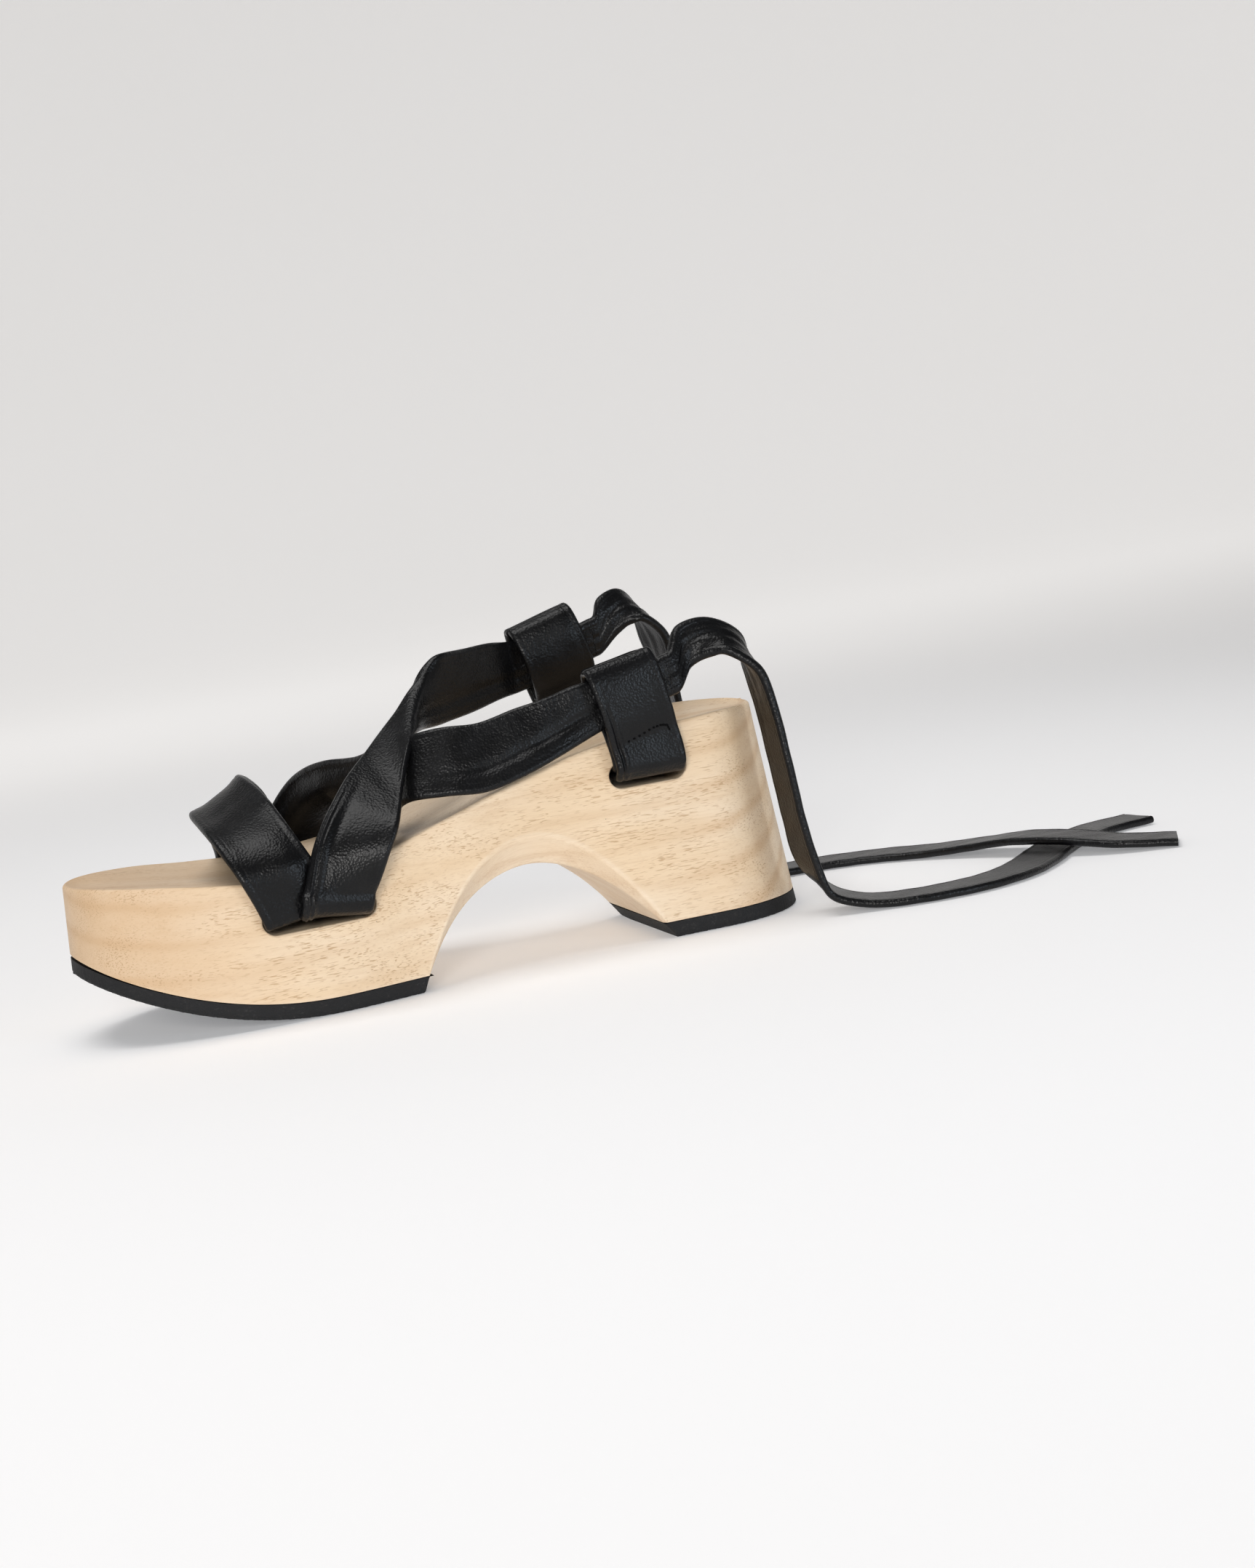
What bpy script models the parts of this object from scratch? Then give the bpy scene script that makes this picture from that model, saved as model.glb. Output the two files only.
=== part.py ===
"""A wooden platform sandal with wrap straps, the right shoe of a pair, standing empty on a floor.

The toe points to -X and the heel to +X. The inner side of the foot is at -Y, the floor is z = 0, and
the origin lies on the floor under the middle of the shoe. Everything is in metres. A place along the
shoe is a distance x from the toe, until add_object moves it to the shoe's own frame.
"""

import math

import bmesh
import bpy
import numpy as np

# The wooden platform
LENGTH = 0.250
BALL_WIDTH = 0.086
HEEL_WIDTH = 0.062
HEEL_SEAT_HEIGHT = 0.0725
BALL_SEAT_HEIGHT = 0.0447
TOE_SEAT_HEIGHT = 0.0515
TOE_SPRING = 0.0240
SEAT_DISH = 0.0015
EDGE_ROUND = 0.0012
HEEL_LEAN = math.radians(6.5)
TOE_LEAN = math.radians(3.0)
SIDE_LEAN = math.radians(1.5)

# The rubber soles
FOREFOOT_RUBBER = 0.0050
HEEL_RUBBER = 0.0053
SEAT_GAP = 0.0003

# The arch, which starts and ends at the floor
ARCH_MIDDLE = 0.152
ARCH_LENGTH = 0.090
ARCH_HEIGHT = 0.0323
ARCH_CHAMFER = 0.0100
ARCH_INNER_POWERS = (1.8, 1.95)
ARCH_OUTER_POWERS = (2.3, 1.84)

# The slots through the wood
SLOT_HEIGHT = 0.0085
FRONT_SLOT_START = 0.0583
FRONT_SLOT_LENGTH = 0.0372
FRONT_SLOT_FLOOR = 0.0283
HEEL_SLOT_START = 0.1815
HEEL_SLOT_LENGTH = 0.0270
HEEL_SLOT_FLOOR = 0.0526
SLOT_CORNERS = 9

# The leather
STRAP_WIDTH = 0.0245
STRAP_THICKNESS = 0.0026
KEEPER_WIDTH = 0.0245
KEEPER_THICKNESS = 0.0024
KEEPER_ROOM = 0.0074
MEDIAL_KEEPER_RISE = 0.0420
LATERAL_KEEPER_RISE = 0.0565
MEDIAL_KEEPER_LEAN = math.radians(11)
LATERAL_KEEPER_LEAN = math.radians(16)
KEEPER_GATHER = 0.575
GATHERED_THICKNESS = 0.0042
INSTEP_RISE = 0.045
TIE_WIDTH = 0.018
LEATHER_GAP = 0.0003

# Fineness of the faceted surfaces
STATIONS = 44
ARCH_STEPS = 26
SEAT_COLUMNS = 8
ROW_STEPS = 3
RIBBON_CORNER = 0.45

MEDIAL, LATERAL = -1, 1

# The plan of the wood: along is a share of LENGTH, half a share of half the ball width between the
# rounded ends, and middle how far the line midway between the sides lies to the outer side
PLAN = [
    # along, half, middle
    (0.00, 1.000, -0.186),
    (0.10, 1.000, -0.105),
    (0.20, 1.000, -0.047),
    (0.32, 1.000, 0.000),
    (0.45, 0.905, 0.029),
    (0.60, 0.781, 0.035),
    (0.75, 0.735, 0.012),
    (0.87, 0.721, 0.004),
    (1.00, 0.721, 0.000),
]
TOE_ROUND, TOE_POWER = 0.30, 2.2
HEEL_ROUND, HEEL_POWER = 0.14, 2.0
PLAN_HEEL = 0.721
HEEL_BLEND_START, HEEL_BLEND = 0.45, 0.42

# The seat's edge from the side: along is a share of LENGTH. Before the ball, up is a share of the
# rise from ball to toe, and behind it, of the rise from ball to heel
SEAT = [
    # along, up
    (0.00, 1.00),
    (0.10, 0.72),
    (0.20, 0.25),
    (0.30, 0.00),
    (0.38, 0.065),
    (0.45, 0.205),
    (0.52, 0.390),
    (0.60, 0.600),
    (0.68, 0.775),
    (0.76, 0.890),
    (0.84, 0.965),
    (0.92, 1.00),
    (1.00, 1.00),
]
BALL_ALONG = 0.30
SPRING_END = 0.32

# Free runs of the straps over the foot. along is a share of LENGTH, aside of half the ball width, rise
# of INSTEP_RISE above the seat's edge, and wide of STRAP_WIDTH. The last three point the way from the
# strap's toe edge to its heel edge
TOE_BAND = [
    # along, aside, rise, wide, ahead, across, up
    (0.286, 1.035, 0.02, 1.00, 0.99, 0.03, 0.13),
    (0.280, 0.93, 0.18, 1.00, 0.97, 0.10, 0.20),
    (0.267, 0.66, 0.36, 1.00, 0.92, 0.25, 0.30),
    (0.243, 0.28, 0.495, 1.00, 0.86, 0.36, 0.36),
    (0.228, 0.00, 0.525, 1.00, 0.83, 0.40, 0.38),
    (0.232, -0.35, 0.465, 1.00, 0.92, 0.20, 0.30),
    (0.238, -0.67, 0.37, 1.00, 0.97, 0.10, 0.19),
    (0.247, -0.90, 0.25, 1.00, 0.985, 0.05, 0.16),
    (0.259, -1.03, 0.10, 1.00, 0.99, 0.00, 0.13),
]
MEDIAL_ARM = [
    # along, aside, rise, wide, ahead, across, up
    (0.340, -1.075, -0.10, 1.00, 0.99, -0.04, -0.08),
    (0.361, -1.020, 0.12, 0.99, 0.86, -0.40, -0.22),
    (0.386, -0.86, 0.30, 0.98, 0.67, -0.64, -0.36),
    (0.406, -0.72, 0.40, 0.98, 0.50, -0.73, -0.46),
    (0.429, -0.56, 0.49, 0.98, 0.28, -0.83, -0.49),
    (0.455, -0.40, 0.595, 0.98, 0.08, -0.91, -0.42),
    (0.477, -0.27, 0.675, 0.98, -0.08, -0.90, -0.42),
    (0.500, -0.12, 0.75, 0.98, -0.22, -0.76, -0.58),
    (0.525, 0.06, 0.785, 0.98, -0.30, -0.32, -0.88),
    (0.557, 0.22, 0.755, 0.98, -0.10, 0.08, -0.98),
    (0.603, 0.42, 0.715, 0.96, 0.06, 0.18, -0.97),
    (0.652, 0.62, 0.675, 0.86, 0.12, 0.20, -0.96),
]
LATERAL_ARM = [
    # along, aside, rise, wide, ahead, across, up
    (0.342, 1.080, -0.08, 1.00, 1.00, 0.03, -0.02),
    (0.362, 1.030, 0.10, 0.98, 0.99, 0.05, -0.12),
    (0.385, 0.86, 0.25, 0.98, 0.90, 0.08, -0.42),
    (0.404, 0.48, 0.32, 0.98, 0.68, 0.04, -0.73),
    (0.434, 0.03, 0.32, 0.98, 0.25, -0.14, -0.95),
    (0.468, -0.55, 0.43, 0.98, -0.30, -0.42, -0.84),
    (0.507, -0.67, 0.38, 0.98, -0.18, -0.42, -0.88),
    (0.557, -0.72, 0.285, 0.98, -0.10, -0.42, -0.90),
    (0.609, -0.73, 0.265, 0.94, -0.02, -0.40, -0.92),
    (0.656, -0.73, 0.265, 0.82, 0.06, -0.30, -0.94),
]

# A keeper's two layers: out is a share of KEEPER_ROOM from the layer's place on the wall, and up a
# share of the keeper's rise above its stitched stem
KEEPER_INNER = [
    # out, up
    (0.00, 0.00),
    (-0.02, 0.10),
    (-0.26, 0.21),
    (-0.66, 0.34),
    (-0.90, 0.55),
    (-0.86, 0.80),
    (-0.64, 0.95),
    (-0.33, 1.00),
]
KEEPER_OUTER = [
    # out, up
    (-0.50, 0.985),
    (-0.14, 0.995),
    (0.14, 0.90),
    (0.28, 0.70),
    (0.30, 0.40),
    (0.22, 0.17),
    (0.00, 0.00),
]
MEDIAL_STEM = 0.0165
LATERAL_STEM = 0.0260
KEEPER_TURN = 0.0100
KEEPER_BULGE = 0.0011
KEEPER_TUNNEL_WIDTH = 0.97
INNER_LEVEL, OUTER_LEVEL = 0.69, 0.31

# The strap's way through a keeper's loop: steps behind the loop's middle as shares of KEEPER_WIDTH, and
# widths as shares of the gathered width
PASS_CLIMB = 0.20
PASS_BEND = 4.0
PASS_LIFT = 0.0016
PASS_SWING = 0.0011
PASS_END = 0.60
PASS_WIDTHS = [
    # step, wide
    (-0.62, 1.22),
    (-0.25, 1.08),
    (0.10, 1.0),
    (0.38, 1.0),
    (PASS_END, 1.0),
]
PASS_ACROSS = (0.10, 0.16, -1.0)

# The straps in the front slots: places along the slot as shares of its length, levels above its floor
# as shares of SLOT_HEIGHT, and widths as shares of STRAP_WIDTH
BAND_PLACE, ARM_PLACE = 0.352, 0.628
BAND_TILT = 0.15
BAND_LEVEL = 0.55
BAND_BEND = 0.0022
BAND_MOUTH = [
    # inward of the wall, wide
    (0.0170, 0.92),
    (0.0070, 0.92),
    (0.0010, 0.95),
]
ARM_MOUTH = [
    # inward of the wall, wide
    (0.0080, 0.90),
    (0.0015, 0.91),
]
BENT_WIDTH = 0.98
TUNNEL_LEVEL = 0.58
TUNNEL_WIDTH, TUNNEL_THICKNESS = 0.90, 0.94
TUNNEL_PLACES = (-0.72, -0.50, -0.20, 0.20, 0.55)

# Where a free tie starts behind its keeper, as shares of KEEPER_WIDTH, and over how many rows of its
# route it flattens out
TIE_STARTS = (PASS_END + 0.018, PASS_END + 0.10)
FLAT_ROWS = 6

# The free ties, as routes on the floor chosen by hand: x from the toe, y, z and how far the flat strap
# is turned out of the level, in degrees
MEDIAL_TIE = [
    (0.2140, -0.0278, 0.0955, 78),
    (0.2225, -0.0290, 0.0975, 55),
    (0.2300, -0.0310, 0.0945, 25),
    (0.2350, -0.0335, 0.0855, 5),
    (0.2375, -0.0355, 0.0710, 0),
    (0.2390, -0.0375, 0.0520, 0),
    (0.2405, -0.0390, 0.0330, 0),
    (0.2430, -0.0405, 0.0170, 0),
    (0.2490, -0.0430, 0.0070, 0),
    (0.2600, -0.0470, 0.0026, 0),
    (0.2760, -0.0520, 0.0018, 0),
    (0.2950, -0.0530, 0.0018, 0),
    (0.3130, -0.0470, 0.0018, 0),
    (0.3280, -0.0350, 0.0018, 0),
    (0.3420, -0.0200, 0.0018, 0),
    (0.3570, -0.0060, 0.0018, 0),
    (0.3740, 0.0040, 0.0018, 0),
    (0.3930, 0.0080, 0.0018, 0),
]
LATERAL_TIE = [
    (0.2080, 0.0318, 0.1060, 78),
    (0.2145, 0.0327, 0.1085, 55),
    (0.2200, 0.0340, 0.1055, 25),
    (0.2255, 0.0360, 0.0960, 5),
    (0.2285, 0.0375, 0.0810, 0),
    (0.2305, 0.0385, 0.0620, 0),
    (0.2325, 0.0395, 0.0420, 0),
    (0.2350, 0.0410, 0.0230, 0),
    (0.2405, 0.0430, 0.0095, 0),
    (0.2510, 0.0460, 0.0030, 0),
    (0.2670, 0.0480, 0.0018, 0),
    (0.2860, 0.0450, 0.0018, 0),
    (0.3030, 0.0370, 0.0018, 0),
    (0.3180, 0.0240, 0.0022, 0),
    (0.3300, 0.0090, 0.0040, 0),
    (0.3390, -0.0060, 0.0058, 0),
    (0.3490, -0.0220, 0.0056, 0),
    (0.3620, -0.0360, 0.0034, 0),
    (0.3790, -0.0450, 0.0018, 0),
]


def clear_scene():
    for obj in list(bpy.data.objects):
        bpy.data.objects.remove(obj, do_unlink=True)


def material(name, colour, roughness):
    mat = bpy.data.materials.new(name)
    mat.use_nodes = True
    shader = mat.node_tree.nodes["Principled BSDF"]
    shader.inputs["Base Color"].default_value = (*colour, 1.0)
    shader.inputs["Roughness"].default_value = roughness
    shader.inputs["Metallic"].default_value = 0.0
    return mat


def curve_through(rows, steps):
    """A smooth curve through the rows, steps points to each row, as a Catmull-Rom spline of every
    column, its tangents scaled to the uneven spacing of the rows."""
    rows = np.array(rows, float)
    spacing = np.linalg.norm(np.diff(rows[:, :3], axis=0), axis=1) ** 0.5 + 1e-9
    knots = np.concatenate([[0.0], np.cumsum(spacing)])
    slopes = np.gradient(rows, knots, axis=0)
    points = []
    for i in range(len(rows) - 1):
        width = knots[i + 1] - knots[i]
        for t in np.arange(steps) / steps:
            a = (1 + 2 * t) * (1 - t) ** 2 * rows[i] + t * (1 - t) ** 2 * width * slopes[i]
            b = t * t * (3 - 2 * t) * rows[i + 1] + t * t * (t - 1) * width * slopes[i + 1]
            points.append(a + b)
    points.append(rows[-1])
    return np.array(points)


def table_value(rows, along, column):
    """The table's column at a share of the length, on a smooth curve that doesn't overshoot."""
    keys = [row[0] for row in rows]
    values = [row[column] for row in rows]
    i = int(np.clip(np.searchsorted(keys, along) - 1, 0, len(keys) - 2))
    steps = np.diff(values) / np.diff(keys)
    slopes = np.zeros(len(keys))
    for k in range(1, len(keys) - 1):
        if steps[k - 1] * steps[k] > 0:
            slopes[k] = 2 * steps[k - 1] * steps[k] / (steps[k - 1] + steps[k])
    width = keys[i + 1] - keys[i]
    t = float(np.clip((along - keys[i]) / width, 0, 1))
    start = (1 + 2 * t) * (1 - t) ** 2 * values[i] + t * (1 - t) ** 2 * width * slopes[i]
    end = t * t * (3 - 2 * t) * values[i + 1] + t * t * (t - 1) * width * slopes[i + 1]
    return start + end


def plan_half_width(x):
    """Half the width of the wood at its foot: the table between the ends, times a superellipse at
    the toe and an ellipse at the heel."""
    along = float(np.clip(x / LENGTH, 0, 1))
    half = table_value(PLAN, along, 1) * BALL_WIDTH / 2
    blend = float(np.clip((along - HEEL_BLEND_START) / HEEL_BLEND, 0, 1))
    half *= 1 + blend * (HEEL_WIDTH / (PLAN_HEEL * BALL_WIDTH) - 1)
    toe = max(0.0, (TOE_ROUND - along) / TOE_ROUND)
    heel = max(0.0, (along - 1 + HEEL_ROUND) / HEEL_ROUND)
    half *= max(0.0, 1 - toe**TOE_POWER) ** (1 / TOE_POWER)
    return half * max(0.0, 1 - heel**HEEL_POWER) ** (1 / HEEL_POWER)


def plan_middle(x):
    return table_value(PLAN, float(np.clip(x / LENGTH, 0, 1)), 2) * BALL_WIDTH / 2


def plan_point(turn, side):
    """A point of the plan's edge, turn running from 0 at the toe to 1 at the heel."""
    x = LENGTH * (1 - math.cos(math.pi * turn)) / 2
    return np.array([x, plan_middle(x) + side * plan_half_width(x)])


def plan_outward(turn, side):
    """The way out of the plan's edge at this point, one long."""
    if turn <= 0:
        return np.array([-1.0, 0.0])
    if turn >= 1:
        return np.array([1.0, 0.0])
    step = 0.002
    ahead = plan_point(min(1, turn + step), side) - plan_point(max(0, turn - step), side)
    out = np.array([-ahead[1], ahead[0]]) * side
    return out / np.linalg.norm(out)


def wall_point(turn, side, z, inset=0.0):
    """A point of the side wall at height z: the plan's edge, moved in by the wall's lean."""
    out = plan_outward(turn, side)
    lean = SIDE_LEAN + (HEEL_LEAN - SIDE_LEAN) * max(0.0, out[0]) ** 2
    lean += (TOE_LEAN - SIDE_LEAN) * max(0.0, -out[0]) ** 2
    return plan_point(turn, side) - out * (math.tan(lean) * z + inset)


def wall_aside(x, side, z):
    """How far the wall at x and height z lies from the line y = 0."""
    turn = math.acos(1 - 2 * float(np.clip(x / LENGTH, 0.001, 0.999))) / math.pi
    return abs(wall_point(turn, side, z)[1])


def wall_line(x, side, z, width):
    """Where a straight strap as wide as this lies against the wall, and its slope along the shoe."""
    steps = np.linspace(-width / 2, width / 2, 7)
    walls = [wall_aside(x + step, side, z) for step in steps]
    slope = (walls[-1] - walls[0]) / width
    return max(wall - slope * step for wall, step in zip(walls, steps)), slope


def seat_edge(x):
    """Height of the seat's edge."""
    along = x / LENGTH
    top = TOE_SEAT_HEIGHT if along < BALL_ALONG else HEEL_SEAT_HEIGHT
    return BALL_SEAT_HEIGHT + table_value(SEAT, along, 1) * (top - BALL_SEAT_HEIGHT)


def wood_foot(x):
    """Height of the wood's underside: flat behind the ball, and up along a parabola to the toe."""
    rise = max(0.0, 1 - x / (SPRING_END * LENGTH)) ** 2
    rubber = FOREFOOT_RUBBER if x < ARCH_MIDDLE else HEEL_RUBBER
    return rubber + SEAT_GAP + TOE_SPRING * rise


def add_object(name, points, faces, mat, smooth=True):
    """One closed mesh as an object, moved from toe-based x to the shoe's frame."""
    mesh = bpy.data.meshes.new(name)
    moved = np.array(points, float) - [LENGTH / 2, 0, 0]
    mesh.from_pydata([tuple(p) for p in moved], [], faces)
    work = bmesh.new()
    work.from_mesh(mesh)
    bmesh.ops.remove_doubles(work, verts=work.verts, dist=1e-6)
    bmesh.ops.recalc_face_normals(work, faces=work.faces)
    if work.calc_volume(signed=True) < 0:
        bmesh.ops.reverse_faces(work, faces=work.faces)
    bmesh.ops.triangulate(work, faces=[f for f in work.faces if len(f.verts) > 4])
    work.to_mesh(mesh)
    work.free()
    if smooth:
        mesh.shade_smooth()
        mesh.set_sharp_from_angle(angle=math.radians(35))
    obj = bpy.data.objects.new(name, mesh)
    obj.data.materials.append(mat)
    bpy.context.scene.collection.objects.link(obj)
    return obj


def as_cutter(obj):
    obj.hide_render = True
    obj.display_type = "WIRE"
    return obj


def apply_boolean(obj, other, operation):
    cut = obj.modifiers.new(operation.lower(), "BOOLEAN")
    cut.operation = operation
    cut.solver = "EXACT"
    cut.object = as_cutter(other)


def lofted(sections):
    """Faces of a closed mesh through rings that all have as many points, with both ends capped."""
    count = len(sections[0])
    points = [p for ring in sections for p in ring]
    faces = []
    for i in range(len(sections) - 1):
        for j in range(count):
            k = (j + 1) % count
            faces.append((i * count + j, i * count + k, (i + 1) * count + k, (i + 1) * count + j))
    last = (len(sections) - 1) * count
    faces.append(tuple(range(count)))
    faces.append(tuple(last + j for j in range(count)))
    return points, faces


def lengthwise(ring_at, first_turn, last_turn, stations):
    """Rings from toe to heel, with pointed ends where the plan closes at the toe or the heel."""
    turns = np.linspace(first_turn, last_turn, stations + 1)
    rings = [ring_at(t) for t in turns]
    count = len(rings[0])
    points = [p for ring in rings for p in ring]
    faces = []
    for i in range(stations):
        for j in range(count):
            k = (j + 1) % count
            faces.append((i * count + j, i * count + k, (i + 1) * count + k, (i + 1) * count + j))
    if first_turn > 0:
        faces.append(tuple(range(count)))
    if last_turn < 1:
        faces.append(tuple(stations * count + j for j in range(count)))
    return points, merged_faces(points, faces)


def merged_faces(points, faces):
    """The faces without corners that lie on one another, as at a pointed end."""
    keys = [tuple(np.round(p, 7)) for p in points]
    first = {}
    for i, key in enumerate(keys):
        first.setdefault(key, i)
    cleaned = []
    for face in faces:
        corners = []
        for i in face:
            same = first[keys[i]]
            if same not in corners:
                corners.append(same)
        if len(corners) > 2:
            cleaned.append(tuple(corners))
    return cleaned


def platform_ring(turn):
    """The wood cut across: up one wall, over the dished seat with its rounded edge, down the other
    wall and back under the foot."""
    x = plan_point(turn, LATERAL)[0]
    foot, edge = wood_foot(x), seat_edge(x)
    middle = foot + (edge - foot) / 2
    half = plan_half_width(x)
    dish = SEAT_DISH * min(1.0, half / (BALL_WIDTH / 4))
    ring = []
    levels = [(foot, 0.0), (middle, 0.0), (edge - EDGE_ROUND, 0.0), (edge, EDGE_ROUND)]
    sides = {s: [wall_point(turn, s, z, inset) for z, inset in levels] for s in (MEDIAL, LATERAL)}
    closed = half < 1e-6
    if closed:
        sides = {s: [wall_point(turn, LATERAL, z, inset) for z, inset in levels] for s in sides}
    heights = [z for z, _ in levels]
    ring += [(*p, z) for p, z in zip(sides[MEDIAL], heights)]
    low, high = sides[MEDIAL][-1], sides[LATERAL][-1]
    for k in range(1, SEAT_COLUMNS):
        t = k / SEAT_COLUMNS
        p = low * (1 - t) + high * t
        sag = 0.0 if closed else dish * (1 - (2 * t - 1) ** 2)
        ring.append((*p, edge - sag))
    ring += [(*p, z) for p, z in reversed(list(zip(sides[LATERAL], heights)))]
    return ring


def arch_line(t, height, powers):
    """Height of an arch at a share t of its length, as 1 less a power of the distance from the
    middle, with one power before the middle and one behind it."""
    u = 2 * t - 1
    return height * (1 - abs(u) ** (powers[0] if u < 0 else powers[1]))


def make_arch_cutter(mat):
    """What the saw and the sanding drum take away: a tunnel that widens to each side."""
    start = ARCH_MIDDLE - ARCH_LENGTH / 2
    below, beyond_wall, thinnest = -0.010, 0.02, 0.002
    rings = []
    for t in np.linspace(0, 1, ARCH_STEPS):
        x = start + ARCH_LENGTH * t
        inner = arch_line(t, ARCH_HEIGHT, ARCH_INNER_POWERS)
        outer = arch_line(t, ARCH_HEIGHT + ARCH_CHAMFER, ARCH_OUTER_POWERS)
        deep = max(0.0, outer - inner)
        ring = []
        for side in (MEDIAL, LATERAL):
            wall = wall_aside(x, side, outer)
            edge = [(x, side * wall, outer), (x, side * (wall - deep), inner)]
            away = side * (wall + beyond_wall)
            beyond = (x, away, outer + beyond_wall * deep / max(deep, thinnest))
            foot = (x, away, below)
            ring += [foot, beyond, *edge] if side == MEDIAL else [*reversed(edge), beyond, foot]
        rings.append(ring)
    points, faces = lofted(rings)
    return add_object("arch_cutter", points, faces, mat)


def make_slot_cutter(name, start, length, floor, mat):
    """A round-ended slot, run through from side to side."""
    radius = SLOT_HEIGHT / 2
    reach = BALL_WIDTH
    outline = []
    for centre, first in ((start + length - radius, -90), (start + radius, 90)):
        for angle in np.radians(np.linspace(first, first + 180, SLOT_CORNERS)):
            x = centre + radius * math.cos(angle)
            outline.append((x, floor + radius + radius * math.sin(angle)))
    rings = [[(x, y, z) for x, z in outline] for y in (-reach, reach)]
    points, faces = lofted(rings)
    return add_object(name, points, faces, mat)


def make_platform(wood):
    points, faces = lengthwise(platform_ring, 0.0, 1.0, STATIONS)
    body = add_object("platform", points, faces, wood)
    apply_boolean(body, make_arch_cutter(wood), "DIFFERENCE")
    slots = (
        ("front_slot_cutter", FRONT_SLOT_START, FRONT_SLOT_LENGTH, FRONT_SLOT_FLOOR),
        ("heel_slot_cutter", HEEL_SLOT_START, HEEL_SLOT_LENGTH, HEEL_SLOT_FLOOR),
    )
    for name, start, length, floor in slots:
        apply_boolean(body, make_slot_cutter(name, start, length, floor, wood), "DIFFERENCE")
    return body


def sole_ring(turn, thickness):
    """The rubber cut across, its lower edge rounded a little."""
    x = plan_point(turn, LATERAL)[0]
    top = wood_foot(x) - SEAT_GAP
    foot = top - thickness
    levels = [(foot, thickness / 5), (foot + thickness / 5, 0.0), (top, 0.0)]
    closed = plan_half_width(x) < 1e-6
    ring = []
    for side in (MEDIAL, LATERAL):
        wall = [(*wall_point(turn, LATERAL if closed else side, z, cut), z) for z, cut in levels]
        ring += wall if side == MEDIAL else wall[::-1]
    return ring


def make_soles(rubber):
    """Both rubber pieces follow the plan, and the arch's line bevels their inner ends."""
    front_end = math.acos(1 - 2 * (ARCH_MIDDLE - ARCH_LENGTH / 4) / LENGTH) / math.pi
    heel_start = math.acos(1 - 2 * (ARCH_MIDDLE + ARCH_LENGTH / 4) / LENGTH) / math.pi
    pieces = (
        ("forefoot_sole", 0.0, front_end, FOREFOOT_RUBBER),
        ("heel_lift", heel_start, 1.0, HEEL_RUBBER),
    )
    for name, first, last, thickness in pieces:
        points, faces = lengthwise(lambda t: sole_ring(t, thickness), first, last, STATIONS // 2)
        sole = add_object(name, points, faces, rubber)
        apply_boolean(sole, bpy.data.objects["arch_cutter"], "DIFFERENCE")


def ribbon(name, stations, mat):
    """A flat strap along stations of centre, way across, width and thickness. Its section is a
    rectangle with its four corners cut."""
    stations = np.array(stations, float)
    centres, across, wide, thick = np.split(stations, [3, 6, 7], axis=1)
    ahead = np.gradient(centres, axis=0)
    across /= np.linalg.norm(across, axis=1)[:, None]
    normal = np.cross(across, ahead)
    normal /= np.linalg.norm(normal, axis=1)[:, None]
    section = []
    for sx, sy in ((-1, -1), (1, -1), (1, 1), (-1, 1)):
        near_edge = (sx, 1.0, sy, RIBBON_CORNER)
        near_face = (sx, 1.0 - 2 * RIBBON_CORNER, sy, 1.0)
        section += [near_edge, near_face] if sx * sy > 0 else [near_face, near_edge]
    rings = []
    for c, w, n, a, t in zip(centres, across, normal, wide[:, 0] / 2, thick[:, 0] / 2):
        ring = []
        for sx, out, sy, up in section:
            reach = a if out == 1.0 else a - t * RIBBON_CORNER * 2
            ring.append(c + w * sx * reach + n * sy * t * up)
        rings.append(ring)
    points, faces = lofted(rings)
    return add_object(name, points, faces, mat)


def strap_rows(table):
    """A strap's table in metres: centre, way across, width and thickness."""
    rows = []
    for along, aside, rise, wide, *across in table:
        x = along * LENGTH
        z = seat_edge(x) + rise * INSTEP_RISE
        y = aside * BALL_WIDTH / 2
        rows.append((x, y, z, *across, wide * STRAP_WIDTH, STRAP_THICKNESS))
    return rows


def mouth_rows(side, x, layer):
    """A strap's way from the tunnel through the slot's mouth and up along the wall, inside first.
    Layer 0 lies close to the wall, its toe edge lower than its heel edge, and layer 1 leaves at the
    slot's floor, swings out and rises outside it."""
    half = STRAP_THICKNESS / 2
    roof = FRONT_SLOT_FLOOR + SLOT_HEIGHT
    wall, slope = wall_line(x, side, FRONT_SLOT_FLOOR, STRAP_WIDTH)
    bend = LEATHER_GAP + half
    if layer == 0:
        tilt = BAND_TILT
        inside = FRONT_SLOT_FLOOR + BAND_LEVEL * SLOT_HEIGHT
        mouth, out, rise = BAND_MOUTH, bend, BAND_BEND
        degrees = (30, 60, 90)
        last = (wall + bend, roof + 0.0030, 1.0)
    else:
        tilt = 0.0
        inside = FRONT_SLOT_FLOOR + bend
        out = bend + 2 * half - 0.0002
        mouth, rise = ARM_MOUTH, out
        degrees = (25, 55, 85)
        last = (wall + out + 0.0001, roof - 0.0010, 1.0)
    places = [(wall - deep, inside, wide) for deep, wide in mouth]
    for angle in [math.radians(d) for d in degrees]:
        swing = wall + out * math.sin(angle)
        places.append((swing, inside + rise * (1 - math.cos(angle)), BENT_WIDTH))
    places.append(last)
    along = (1, side * slope, tilt)
    return [(x, side * y, z, *along, w * STRAP_WIDTH, STRAP_THICKNESS) for y, z, w in places]


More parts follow.
